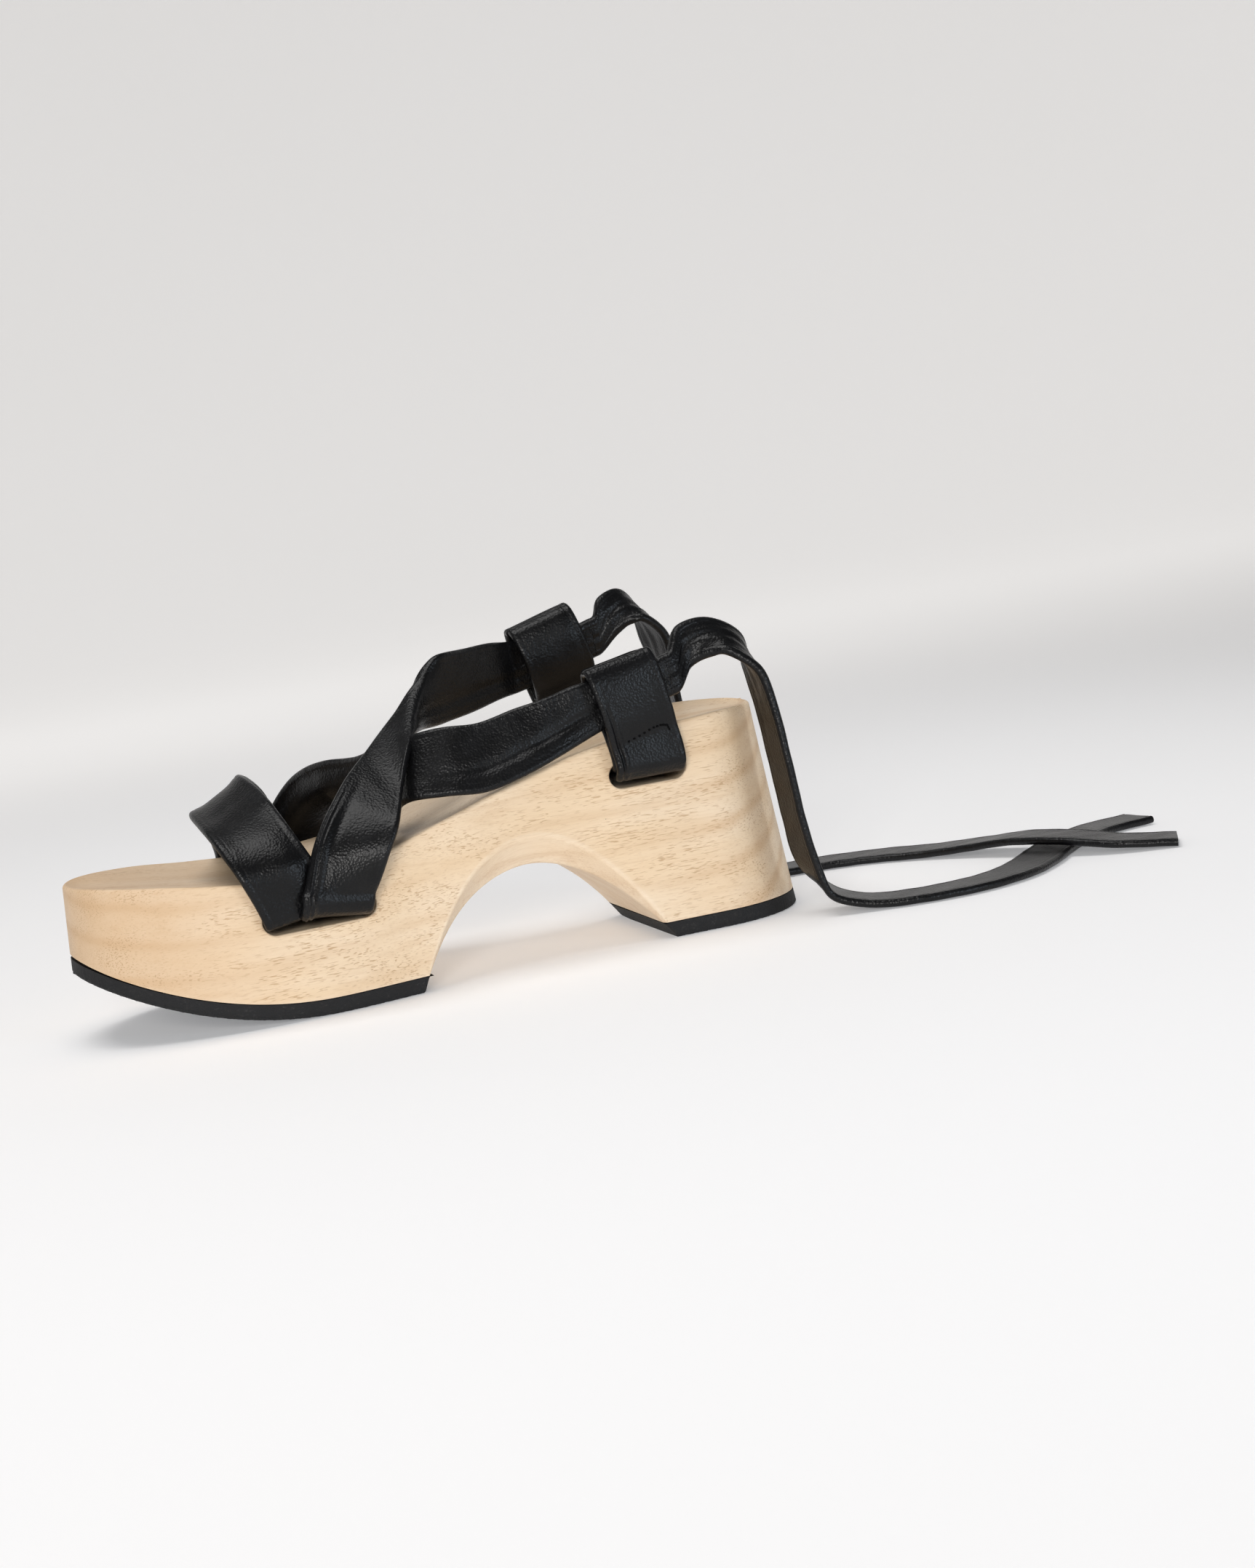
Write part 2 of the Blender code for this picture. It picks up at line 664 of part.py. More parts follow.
def tunnel_rows(side, front_x, rear_x):
    """The strap inside the wood, from just under the roof at the front of one slot to just above
    the floor at the rear of the other."""
    bend = LEATHER_GAP + STRAP_THICKNESS / 2
    high = FRONT_SLOT_FLOOR + TUNNEL_LEVEL * SLOT_HEIGHT
    low = FRONT_SLOT_FLOOR + bend
    rows = []
    first, last = TUNNEL_PLACES[0], TUNNEL_PLACES[-1]
    for share in TUNNEL_PLACES:
        t = (share - first) / (last - first)
        x = front_x * (1 - t) + rear_x * t
        z = high * (1 - t) + low * t
        y = side * share * BALL_WIDTH / 2
        size = (TUNNEL_WIDTH * STRAP_WIDTH, TUNNEL_THICKNESS * STRAP_THICKNESS)
        rows.append((x, y, z, 1, 0, 0, *size))
    return rows


def keeper_frame(side):
    """Middle of the keeper's foot, its wall, rise, stem and lean."""
    x = HEEL_SLOT_START + HEEL_SLOT_LENGTH / 2
    wall = wall_line(x - 0.002, side, HEEL_SLOT_FLOOR, KEEPER_WIDTH)[0]
    if side == MEDIAL:
        return x, wall, MEDIAL_KEEPER_RISE, MEDIAL_STEM, MEDIAL_KEEPER_LEAN
    return x, wall, LATERAL_KEEPER_RISE, LATERAL_STEM, LATERAL_KEEPER_LEAN


def keeper_lean(side, w):
    """How far the keeper has moved to the toe at a height above the slot's floor, and its turn."""
    lean = keeper_frame(side)[4]
    start = 0.7 * SLOT_HEIGHT
    turn = min(1.0, max(0.0, w - start) / KEEPER_TURN)
    shift = math.tan(lean) * (turn * turn * KEEPER_TURN / 2 + max(0.0, w - start - KEEPER_TURN))
    return -shift, lean * turn


def keeper_rows(side, inner):
    """One layer of a keeper, from the tunnel up to the fold at its top, or the other way."""
    x, wall, rise, stem, _ = keeper_frame(side)
    half = KEEPER_THICKNESS / 2
    foot_wall, slope = wall_line(x - 0.002, side, HEEL_SLOT_FLOOR, KEEPER_WIDTH)
    table = KEEPER_INNER if inner else KEEPER_OUTER
    loop = [(out * KEEPER_ROOM, stem + up * (rise - stem)) for out, up in table]
    bend = LEATHER_GAP + half
    if inner:
        out = foot_wall + bend
        layer = INNER_LEVEL * SLOT_HEIGHT
        arc = SLOT_HEIGHT - layer
        places = [(0.0, layer), (foot_wall - 0.0070, layer), (foot_wall - 0.0015, layer)]
        for degrees in (25, 60, 90):
            angle = math.radians(degrees)
            y = foot_wall - 0.0010 + (bend + 0.0010) * math.sin(angle)
            places.append((y, SLOT_HEIGHT - arc * math.cos(angle)))
        places += [(out, 0.5 * (SLOT_HEIGHT + stem)), *((out + v, w) for v, w in loop)]
    else:
        out = foot_wall + bend + 2 * half - 0.0001
        layer = OUTER_LEVEL * SLOT_HEIGHT
        bulge = out + KEEPER_BULGE
        places = [(out + v, w) for v, w in loop]
        places += [(bulge, 0.66 * stem), (bulge + 0.0001, 0.42 * stem)]
        places += [(bulge - 0.0008, layer + 0.0018)]
        places += [(foot_wall + 0.0024, layer + 0.0003), (foot_wall - 0.0010, layer)]
        places += [(foot_wall - 0.0070, layer), (0.0, layer)]
    rows = []
    for y, w in places:
        shift, angle = keeper_lean(side, w)
        across = (math.cos(angle), side * slope, math.sin(angle))
        wide = KEEPER_WIDTH * (1 if y > foot_wall else KEEPER_TUNNEL_WIDTH)
        rows.append((x + shift, side * y, HEEL_SLOT_FLOOR + w, *across, wide, KEEPER_THICKNESS))
    return rows


def make_heel_keeper(leather):
    """Four layers, each from the middle of the tunnel to the top of a loop, made one strap."""
    layers = []
    for side, word in ((MEDIAL, "medial"), (LATERAL, "lateral")):
        for inner in (True, False):
            stations = curve_through(keeper_rows(side, inner), ROW_STEPS)
            if not inner:
                stations[:, 6] *= 0.995
            name = f"{word}_{'inner' if inner else 'outer'}_layer"
            layers.append((name, stations))
    inner_a, outer_a, inner_b, outer_b = (ribbon(n, s, leather) for n, s in layers)
    inner_a.name = "heel_keeper"
    inner_a.data.name = "heel_keeper"
    for other in (outer_a, inner_b, outer_b):
        apply_boolean(inner_a, other, "UNION")
    return inner_a


def keeper_pass(side, step):
    """A place on the strap's way through a keeper, step keeper widths behind the loop's middle."""
    x, wall, rise, stem, _ = keeper_frame(side)
    up = stem + 0.5 * (rise - stem) + PASS_LIFT
    shift = keeper_lean(side, up)[0]
    along = step * KEEPER_WIDTH
    climb = PASS_CLIMB * along + PASS_BEND * max(0.0, along) ** 2
    aside = side * (wall + PASS_SWING)
    return np.array([x + shift + along, aside, HEEL_SLOT_FLOOR + up + climb])


def pass_across(side):
    """The way across the strap in a keeper, from its upper edge to its lower one."""
    ahead, aside, up = PASS_ACROSS
    return ahead, side * aside, up


def keeper_pass_rows(side):
    """The gathered strap through the keeper's loop, to just beyond its rear edge."""
    rows = []
    for step, wide in PASS_WIDTHS:
        place = keeper_pass(side, step)
        width = wide * KEEPER_GATHER * STRAP_WIDTH
        rows.append((*place, *pass_across(side), width, GATHERED_THICKNESS / wide))
    return rows


def make_straps(leather):
    """The toe band and the two arms, joined in the tunnel, at the slots and where they cross."""
    front_x = FRONT_SLOT_START + BAND_PLACE * FRONT_SLOT_LENGTH
    rear_x = FRONT_SLOT_START + ARM_PLACE * FRONT_SLOT_LENGTH
    lateral_down = mouth_rows(LATERAL, front_x, 0)
    medial_down = mouth_rows(MEDIAL, front_x, 0)[::-1]
    band_rows = lateral_down + strap_rows(TOE_BAND) + medial_down
    band = ribbon("straps", curve_through(band_rows, ROW_STEPS), leather)
    for side, table in ((MEDIAL, MEDIAL_ARM), (LATERAL, LATERAL_ARM)):
        rows = tunnel_rows(side, front_x, rear_x) + mouth_rows(side, rear_x, 1)
        rows += strap_rows(table) + keeper_pass_rows(-side)
        word = "medial" if side == MEDIAL else "lateral"
        arm = ribbon(f"{word}_arm", curve_through(rows, ROW_STEPS), leather)
        apply_boolean(band, arm, "UNION")
    return band


def make_tie(name, side, route, leather):
    """A free tie: out of its keeper gathered, then flat, down to the floor and away."""
    rows = []
    for step in TIE_STARTS:
        size = (STRAP_WIDTH * KEEPER_GATHER, GATHERED_THICKNESS)
        rows.append((*keeper_pass(side, step), *pass_across(side), *size))
    for i, (x, y, z, turned) in enumerate(route):
        angle = math.radians(turned)
        back = np.array(route[max(0, i - 1)][:3])
        forth = np.array(route[min(len(route) - 1, i + 1)][:3])
        ahead = (forth - back) / np.linalg.norm(forth - back)
        level = np.array([ahead[1], -ahead[0], 0.0])
        if np.linalg.norm(level) < 0.35:
            level = np.array([0.0, -1.0, 0.0])
        level /= np.linalg.norm(level)
        upward = np.cross(level, ahead)
        across = level * math.cos(angle) - upward * math.sin(angle)
        flat = min(1.0, (i + 1) / FLAT_ROWS)
        width = STRAP_WIDTH * KEEPER_GATHER * (1 - flat) + TIE_WIDTH * flat
        thick = GATHERED_THICKNESS * (1 - flat) + STRAP_THICKNESS * flat
        rows.append((x, y, z, *across, width, thick))
    return ribbon(name, curve_through(rows, ROW_STEPS), leather)


def main():
    clear_scene()
    wood = material("pale wood", (0.76, 0.56, 0.34), 0.5)
    rubber = material("black rubber", (0.018, 0.018, 0.019), 0.75)
    leather = material("black leather", (0.012, 0.012, 0.013), 0.38)
    make_platform(wood)
    make_soles(rubber)
    make_heel_keeper(leather)
    make_straps(leather)
    make_tie("tie_medial", MEDIAL, MEDIAL_TIE, leather)
    make_tie("tie_lateral", LATERAL, LATERAL_TIE, leather)


main()
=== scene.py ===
# %% [markdown]
# # A wooden platform sandal with wrap straps
#
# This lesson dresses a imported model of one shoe: a thick sole sawn and sanded from one block of pale
# wood, black rubber under the ball and the heel, and one long soft leather strap that runs through the
# wood, over the foot and through a folded keeper on each side of the heel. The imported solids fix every
# size and every place. Here each of them gets a fine surface and a finish of its own.
#
# Every shape below is worked out with numpy as a grid of points and given to a mesh in one go. That is
# faster than moving vertices one at a time, and it lets the formula of a shape be read in one place.

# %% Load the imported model
import math

import bmesh
import bpy
import numpy as np
from mathutils import Matrix, Vector


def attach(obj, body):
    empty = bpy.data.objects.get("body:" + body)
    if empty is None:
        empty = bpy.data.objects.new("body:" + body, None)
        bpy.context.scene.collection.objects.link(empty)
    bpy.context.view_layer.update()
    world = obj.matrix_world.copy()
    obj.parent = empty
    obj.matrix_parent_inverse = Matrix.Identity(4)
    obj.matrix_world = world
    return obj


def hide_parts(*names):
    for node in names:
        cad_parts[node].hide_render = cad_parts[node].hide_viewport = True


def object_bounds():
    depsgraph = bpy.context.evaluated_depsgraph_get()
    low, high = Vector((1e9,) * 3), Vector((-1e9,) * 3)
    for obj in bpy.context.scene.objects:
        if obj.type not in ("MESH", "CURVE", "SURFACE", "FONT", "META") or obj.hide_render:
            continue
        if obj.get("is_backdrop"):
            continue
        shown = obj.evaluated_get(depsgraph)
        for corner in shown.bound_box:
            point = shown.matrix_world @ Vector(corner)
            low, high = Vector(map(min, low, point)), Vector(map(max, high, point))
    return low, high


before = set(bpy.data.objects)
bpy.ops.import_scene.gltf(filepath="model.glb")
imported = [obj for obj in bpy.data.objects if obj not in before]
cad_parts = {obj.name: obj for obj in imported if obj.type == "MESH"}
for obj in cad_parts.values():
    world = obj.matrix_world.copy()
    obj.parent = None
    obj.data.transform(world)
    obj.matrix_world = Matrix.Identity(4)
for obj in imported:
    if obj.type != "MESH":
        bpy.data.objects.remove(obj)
cad_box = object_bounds()
print("Packed pieces:", sorted(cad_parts))


def add_object(name, data):
    """A new object of the scene with this data."""
    thing = bpy.data.objects.new(name, data)
    bpy.context.scene.collection.objects.link(thing)
    return thing


# %% [markdown]
# ## The camera
#
# The camera comes first, because the free ends of the strap have to lie where it sees them. The
# photograph was matched to the solids once, which gave the place of the lens and the way it looked.
# The camera keeps that place. It is only turned about it until the shoe fills the frame, because
# turning a camera about its own lens doesn't change which sides of a thing can be seen.

# %% Camera
LENS_PLACE = Vector((-0.19318, -0.85061, 0.15860))
LENS_LENGTH = 60.0
SENSOR_HEIGHT = 36.0
AIM = Vector((0.0715, 0.0, 0.0500))
PHOTO_RIGHT = Vector((0.96384, -0.22159, -0.14804))
PHOTO_DOWN = Vector((-0.14216, 0.04235, -0.98894))
PHOTO_FORWARD = Vector((0.22541, 0.97422, 0.00932))

lens = bpy.data.cameras.new("camera")
lens.lens = LENS_LENGTH
lens.sensor_fit = "VERTICAL"
lens.sensor_height = SENSOR_HEIGHT
lens.clip_start = 0.01
camera = add_object("camera", lens)
turn_to_shoe = PHOTO_FORWARD.rotation_difference(AIM - LENS_PLACE).to_matrix()
photo_axes = Matrix((PHOTO_RIGHT, -PHOTO_DOWN, -PHOTO_FORWARD)).transposed()
camera.matrix_world = Matrix.Translation(LENS_PLACE) @ (turn_to_shoe @ photo_axes).to_4x4()
bpy.context.scene.camera = camera
print("Distance to the shoe:", round((AIM - LENS_PLACE).length, 3), "m")

# %% [markdown]
# ## The last's plan and side, as curves
#
# A shoe's wooden sole is cut to a pattern: its outline seen from above, and the line of its top edge
# seen from the side. Both could be drawn as Bezier curves by hand. They are tables here instead, read
# by one smooth interpolation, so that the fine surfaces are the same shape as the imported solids.

# %% Sizes, in metres
LENGTH = 0.250
BALL_WIDTH = 0.086
HEEL_WIDTH = 0.062
HEEL_SEAT_HEIGHT = 0.0725
BALL_SEAT_HEIGHT = 0.0447
TOE_SEAT_HEIGHT = 0.0515
TOE_SPRING = 0.0240
SPRING_END = 0.32
SEAT_DISH = 0.0015
EDGE_ROUND = 0.0013
HEEL_LEAN = math.radians(6.5)
TOE_LEAN = math.radians(3.0)
SIDE_LEAN = math.radians(1.5)
FOREFOOT_RUBBER = 0.0050
HEEL_RUBBER = 0.0053
SEAT_GAP = 0.0003
ARCH_MIDDLE = 0.152
ARCH_LENGTH = 0.090
ARCH_HEIGHT = 0.0323
ARCH_CHAMFER = 0.0100
ARCH_INNER_POWERS, ARCH_OUTER_POWERS = (1.8, 1.95), (2.3, 1.84)
# The stretches along the shoe in which the arch's lines meet the rubber
FRONT_FOOT, REAR_FOOT = (0.1065, 0.1125), (0.1915, 0.1975)
SLOT_HEIGHT = 0.0085
# Each slot: its start along the shoe, its length and the height of its floor
FRONT_SLOT = (0.0583, 0.0372, 0.0283)
HEEL_SLOT = (0.1815, 0.0270, 0.0526)
MEDIAL, LATERAL = -1, 1
TOE_FRAME = np.array([LENGTH / 2, 0.0, 0.0])

PLAN = np.array([
    # along, half, middle
    (0.00, 1.000, -0.186),
    (0.10, 1.000, -0.105),
    (0.20, 1.000, -0.047),
    (0.32, 1.000, 0.000),
    (0.45, 0.905, 0.029),
    (0.60, 0.781, 0.035),
    (0.75, 0.735, 0.012),
    (0.87, 0.721, 0.004),
    (1.00, 0.721, 0.000),
])
TOE_ROUND, TOE_POWER = 0.30, 2.2
HEEL_ROUND, HEEL_POWER = 0.14, 2.0
PLAN_HEEL = 0.721
HEEL_BLEND_START, HEEL_BLEND = 0.45, 0.42
SEAT = np.array([
    # along, up
    (0.00, 1.00),
    (0.10, 0.72),
    (0.20, 0.25),
    (0.30, 0.00),
    (0.38, 0.065),
    (0.45, 0.205),
    (0.52, 0.390),
    (0.60, 0.600),
    (0.68, 0.775),
    (0.76, 0.890),
    (0.84, 0.965),
    (0.92, 1.00),
    (1.00, 1.00),
])
BALL_ALONG = 0.30
# How far apart the points are that give the edge's direction, as turns, and the distance from a tip
# within which the wall isn't measured
TURN_STEP = 0.002
TIP_GUARD = 0.0003
# A half width that counts as none
NARROW = 1e-6


def cubic(t, width, start, end, away, towards):
    """The cubic over a stretch of this width, for t from 0 to 1, with these values and slopes at its
    start and its end: (1 + 2t)(1 - t)^2 start + t(1 - t)^2 width away, and the same from the end."""
    first = (1 + 2 * t) * (1 - t) ** 2 * start + t * (1 - t) ** 2 * width * away
    return first + (t * t * (3 - 2 * t) * end + t * t * (t - 1) * width * towards)


def table_curve(table, along, column):
    """A column of a table at any places along it. Between two rows it is a cubic, and a row's slope
    is the harmonic mean of the slopes beside it, or 0 at a peak, so the curve never overshoots."""
    keys, values = table[:, 0], table[:, column]
    steps = np.diff(values) / np.diff(keys)
    slopes = np.zeros(len(keys))
    before, after = steps[:-1], steps[1:]
    same = before * after > 0
    total = np.where(same, before + after, 1.0)
    slopes[1:-1] = np.where(same, 2 * before * after / total, 0.0)
    i = np.clip(np.searchsorted(keys, along) - 1, 0, len(keys) - 2)
    width = keys[i + 1] - keys[i]
    t = np.clip((along - keys[i]) / width, 0, 1)
    return cubic(t, width, values[i], values[i + 1], slopes[i], slopes[i + 1])


def half_width(x):
    """Half the plan's width at a distance x from the toe: the table, times (1 - u^n)^(1/n) at each
    rounded end, where u runs from 0 where the rounding starts to 1 at the tip."""
    along = np.clip(x / LENGTH, 0, 1)
    half = table_curve(PLAN, along, 1) * BALL_WIDTH / 2
    blend = np.clip((along - HEEL_BLEND_START) / HEEL_BLEND, 0, 1)
    half = half * (1 + blend * (HEEL_WIDTH / (PLAN_HEEL * BALL_WIDTH) - 1))
    toe = np.clip((TOE_ROUND - along) / TOE_ROUND, 0, 1)
    heel = np.clip((along - 1 + HEEL_ROUND) / HEEL_ROUND, 0, 1)
    half = half * (1 - toe**TOE_POWER) ** (1 / TOE_POWER)
    return half * (1 - heel**HEEL_POWER) ** (1 / HEEL_POWER)


def plan_point(turn, side):
    """The plan's edge at a turn from 0 at the toe to 1 at the heel: x is half the length times
    1 - cos(pi turn), which sets the points closer together at the rounded ends."""
    x = LENGTH * (1 - np.cos(np.pi * turn)) / 2
    middle = table_curve(PLAN, x / LENGTH, 2) * BALL_WIDTH / 2
    return np.stack([x, middle + side * half_width(x)], axis=-1)


def turn_at(x):
    return np.arccos(1 - 2 * np.clip(x / LENGTH, 0, 1)) / np.pi


def wall_point(turn, side, z, inset=0.0):
    """The side wall at height z: the plan's edge, moved in along the edge's own normal by the wall's
    lean times z, and by inset."""
    turn, side, z, inset = np.broadcast_arrays(turn, side, z, inset)
    before, after = np.clip(turn - TURN_STEP, 0, 1), np.clip(turn + TURN_STEP, 0, 1)
    ahead = plan_point(after, side) - plan_point(before, side)
    out = np.stack([-ahead[..., 1], ahead[..., 0]], axis=-1) * side[..., None]
    out = out / np.maximum(np.linalg.norm(out, axis=-1), 1e-12)[..., None]
    out = np.where((turn <= 0)[..., None], [-1.0, 0.0], out)
    out = np.where((turn >= 1)[..., None], [1.0, 0.0], out)
    lean = SIDE_LEAN + (HEEL_LEAN - SIDE_LEAN) * np.maximum(0, out[..., 0]) ** 2
    lean = lean + (TOE_LEAN - SIDE_LEAN) * np.maximum(0, -out[..., 0]) ** 2
    return plan_point(turn, side) - out * (np.tan(lean) * z + inset)[..., None]


def wall_aside(x, side, z):
    """How far the wall at x and z lies from the line y = 0."""
    x = np.clip(x, TIP_GUARD, LENGTH - TIP_GUARD)
    return np.abs(wall_point(turn_at(x), side, z)[..., 1])


def seat_edge(x):
    """Height of the seat's edge at x."""
    along = x / LENGTH
    top = np.where(along < BALL_ALONG, TOE_SEAT_HEIGHT, HEEL_SEAT_HEIGHT)
    return BALL_SEAT_HEIGHT + table_curve(SEAT, along, 1) * (top - BALL_SEAT_HEIGHT)


def wood_foot(x):
    """The wood's underside: flat behind the ball, and a parabola up to the toe before it."""
    rise = np.clip(1 - x / (SPRING_END * LENGTH), 0, 1) ** 2
    rubber = np.where(x < ARCH_MIDDLE, FOREFOOT_RUBBER, HEEL_RUBBER)
    return rubber + SEAT_GAP + TOE_SPRING * rise


def arch_line(x, height, front_power, rear_power):
    """An arch over its length: its height times 1 - |u|^n, where u runs from -1 to 1."""
    u = (x - ARCH_MIDDLE) / (ARCH_LENGTH / 2)
    power = np.where(u < 0, front_power, rear_power)
    return height * (1 - np.abs(u) ** power)


def arch_lines(x):
    """The arch's top line under the middle of the wood and its higher line on the wall."""
    inner = arch_line(x, ARCH_HEIGHT, *ARCH_INNER_POWERS)
    outer = arch_line(x, ARCH_HEIGHT + ARCH_CHAMFER, *ARCH_OUTER_POWERS)
    return inner, np.maximum(inner, outer)


print("Plan width at the ball:", round(2000 * float(half_width(BALL_ALONG * LENGTH)), 1), "mm")

# %% [markdown]
# ## From a grid of points to a piece
#
# A grid of points becomes a mesh by joining each point to its neighbours. Rows that close on themselves
# make a tube, and where a row shrinks to a line or a point, the doubled points are merged, so that the
# piece is closed.

# %% Grid to mesh
MERGED = 2e-6


def grid_faces(rows, columns, closed):
    """The four corners of every cell of a grid, whose rows close on themselves or don't."""
    i = np.arange(rows - 1)[:, None]
    j = np.arange(columns if closed else columns - 1)[None, :]
    k = (j + 1) % columns
    corners = [i * columns + j, i * columns + k, (i + 1) * columns + k, (i + 1) * columns + j]
    return np.stack(np.broadcast_arrays(*corners), axis=-1).reshape(-1, 4)


def end_caps(rows, columns, ends=(True, True)):
    """One face over the first row of a grid and one over its last, for the ends that are open."""
    caps = [tuple(range(columns)), tuple((rows - 1) * columns + j for j in range(columns))]
    return [cap for cap, is_open in zip(caps, ends) if is_open]


def mesh_piece(name, points, faces, caps=(), sharp=40.0, layers=None):
    """A closed mesh as an object of the shoe, at the origin and with its place in its mesh. Points
    closer than MERGED become one, and edges sharper than an angle in degrees stay sharp."""
    mesh = bpy.data.meshes.new(name)
    flat = np.asarray(points, float).reshape(-1, 3) - TOE_FRAME
    mesh.from_pydata(flat.tolist(), [], [*map(tuple, np.asarray(faces).tolist()), *caps])
    for layer, values in (layers or {}).items():
        attribute = mesh.attributes.new(layer, "FLOAT", "POINT")
        attribute.data.foreach_set("value", np.asarray(values, float).ravel())
    work = bmesh.new()
    work.from_mesh(mesh)
    bmesh.ops.remove_doubles(work, verts=work.verts, dist=MERGED)
    bmesh.ops.recalc_face_normals(work, faces=work.faces)
    if work.calc_volume(signed=True) < 0:
        bmesh.ops.reverse_faces(work, faces=work.faces)
    work.to_mesh(mesh)
    work.free()
    mesh.shade_smooth()
    mesh.set_sharp_from_angle(angle=math.radians(sharp))
    return add_object(name, mesh)


def join_shoe(piece, slot, *nodes):
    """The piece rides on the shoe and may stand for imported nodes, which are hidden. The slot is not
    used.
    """
    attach(piece, "root")
    if nodes:
        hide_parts(*nodes)
    print(f"{piece.name}: {len(piece.data.polygons)} faces")
    return piece


# %% [markdown]
# ## A strap as a surface
#
# A soft strap is a flat tube: leather folded round a thin filling, with its edges turned in. On the
# real shoe it bends, twists and gathers on its way. A Curve object with a bevel can't do that: it
# can't change its section and turns by itself. So a path of stations carries a section here, and each
# station gives the way across the strap, its width and its thickness. A list of soft ridges and dents
# is added along the strap's own normal, which makes the folds.

# %% Strap surface
EDGE_STEPS = 6
FACE_STEPS = 48
CLOSER = 0.22
ROW_STEPS = 12
# The turned seam: its depth on the ties and the band and on the arms and keepers, its place across,
# its width, where its outer flank rises, and the half thickness from which it has its full depth
SEAM, FINE_SEAM = 0.00008, 0.00004
SEAM_ACROSS, SEAM_WIDE, SEAM_FLANK, SEAM_FULL = 0.86, 0.035, (0.9, 0.97), 0.0010
# Slow waves of the leather: radians to a metre along, radians to half a width across, and the start
WAVES = ((410, 2.0, 0.0), (173, 1.3, 0.7))


def curve_through(rows, steps=ROW_STEPS):
    """A smooth curve through the rows: a cubic between two rows, with slopes by finite differences
    over knots that are the square roots of the distances apart."""
    rows = np.asarray(rows, float)
    spacing = np.linalg.norm(np.diff(rows[:, :3], axis=0), axis=1) ** 0.5 + 1e-9
    knots = np.concatenate([[0.0], np.cumsum(spacing)])
    slopes = np.gradient(rows, knots, axis=0)
    t = (np.arange(steps) / steps)[None, :, None]
    width = np.diff(knots)[:, None, None]
    ends = (rows[:-1, None], rows[1:, None], slopes[:-1, None], slopes[1:, None])
    points = cubic(t, width, *ends)
    return np.concatenate([points.reshape(-1, rows.shape[1]), rows[-1:]])


def strap_section():
    """Round a flat section of half width 1: the share across, the share of the half thickness, and
    how far the point lies round the turned edge, where a half circle closes the two faces. The faces
    use u = t + CLOSER sin(pi t), which sets the columns closer together near the edges."""
    even = np.linspace(-1, 1, FACE_STEPS + 1)
    face = even + CLOSER * np.sin(np.pi * even)
    arc = np.linspace(0, np.pi, EDGE_STEPS + 1)[1:-1]
    across = np.concatenate([face, np.ones(len(arc)), face[::-1], -np.ones(len(arc))])
    up = np.concatenate([np.ones(len(face)), np.cos(arc), -np.ones(len(face)), -np.cos(arc)])
    beyond = np.concatenate([np.zeros(len(face)), np.sin(arc), np.zeros(len(face)), np.sin(arc)])
    return across, up, beyond


def strap_frame(stations):
    """Centres, ways across, normals, widths, thicknesses and the distance run along the strap."""
    centres, across = stations[:, :3], stations[:, 3:6]
    ahead = np.gradient(centres, axis=0)
    across = across / np.linalg.norm(across, axis=1)[:, None]
    normal = np.cross(across, ahead)
    normal = normal / np.linalg.norm(normal, axis=1)[:, None]
    steps = np.linalg.norm(np.diff(centres, axis=0), axis=1)
    run = np.concatenate([[0.0], np.cumsum(steps)])
    return centres, across, normal, stations[:, 6], stations[:, 7], run


def soft_step(value, start, end):
    """0 before start, 1 after end and 3t^2 - 2t^3 between them."""
    t = np.clip((value - start) / (end - start), 0, 1)
    return t * t * (3 - 2 * t)


def fold_height(run, across, folds):
    """The sum of soft ridges along a strap. Each runs from one distance to another, starting and
    ending gently, from one place across to another, and is high * exp(-(distance / wide)^2) high."""
    height = np.zeros(np.broadcast(run, across).shape)
    for start, end, here, there, wide, high in folds:
        t = np.clip((run - start) / (end - start), 0, 1)
        line = here + (there - here) * t
        gentle = np.sin(np.pi * t)
        height = height + high * gentle * np.exp(-(((across - line) / wide) ** 2))
    return height


def strap_grid(stations, folds, seam, ripple):
    """A strap's points: centre + across * width * u + normal * thickness * v + folds * normal. Near
    each edge a shallow groove marks the turned seam, and ripple adds slow waves of that height."""
    centres, across, normal, width, thick, run = strap_frame(np.asarray(stations, float))
    u, v, beyond = strap_section()
    half = thick[:, None] / 2
    reach = (width[:, None] / 2 - half) * u + half * beyond * np.sign(u)
    groove = np.exp(-(((np.abs(u) - SEAM_ACROSS) / SEAM_WIDE) ** 2))
    groove = -seam * (groove - 0.5 * soft_step(np.abs(u), *SEAM_FLANK))
    lift = v * half + v * groove * np.minimum(1.0, half / SEAM_FULL)
    lift = lift + fold_height(run[:, None], u[None, :], folds)
    (run_a, across_a, start_a), (run_b, across_b, start_b) = WAVES
    slow = np.sin(run[:, None] * run_a + across_a * u + start_a)
    slow = slow * np.sin(run[:, None] * run_b + across_b * u + start_b)
    lift = lift + ripple * slow * (1 - 0.4 * u * u)
    points = centres[:, None] + across[:, None] * reach[..., None] + normal[:, None] * lift[..., None]
    return points, run


def make_strap(name, stations, folds, seam, ripple, creased=0.15):
    """The strap as a mesh with closed ends. It keeps three attributes for its finish: how far along
    the strap a point lies, in metres, how far across, from -1 to 1, and how creased the leather is."""
    points, run = strap_grid(stations, folds, seam, ripple)
    rows, columns = points.shape[:2]
    u = strap_section()[0]
    layers = {
        "strap_run": np.broadcast_to(run[:, None], (rows, columns)),
        "strap_across": np.broadcast_to(u[None, :], (rows, columns)),
        "strap_creased": np.full((rows, columns), creased),
    }
    faces = grid_faces(rows, columns, True)
    return mesh_piece(name, points, faces, end_caps(rows, columns), sharp=50.0, layers=layers)


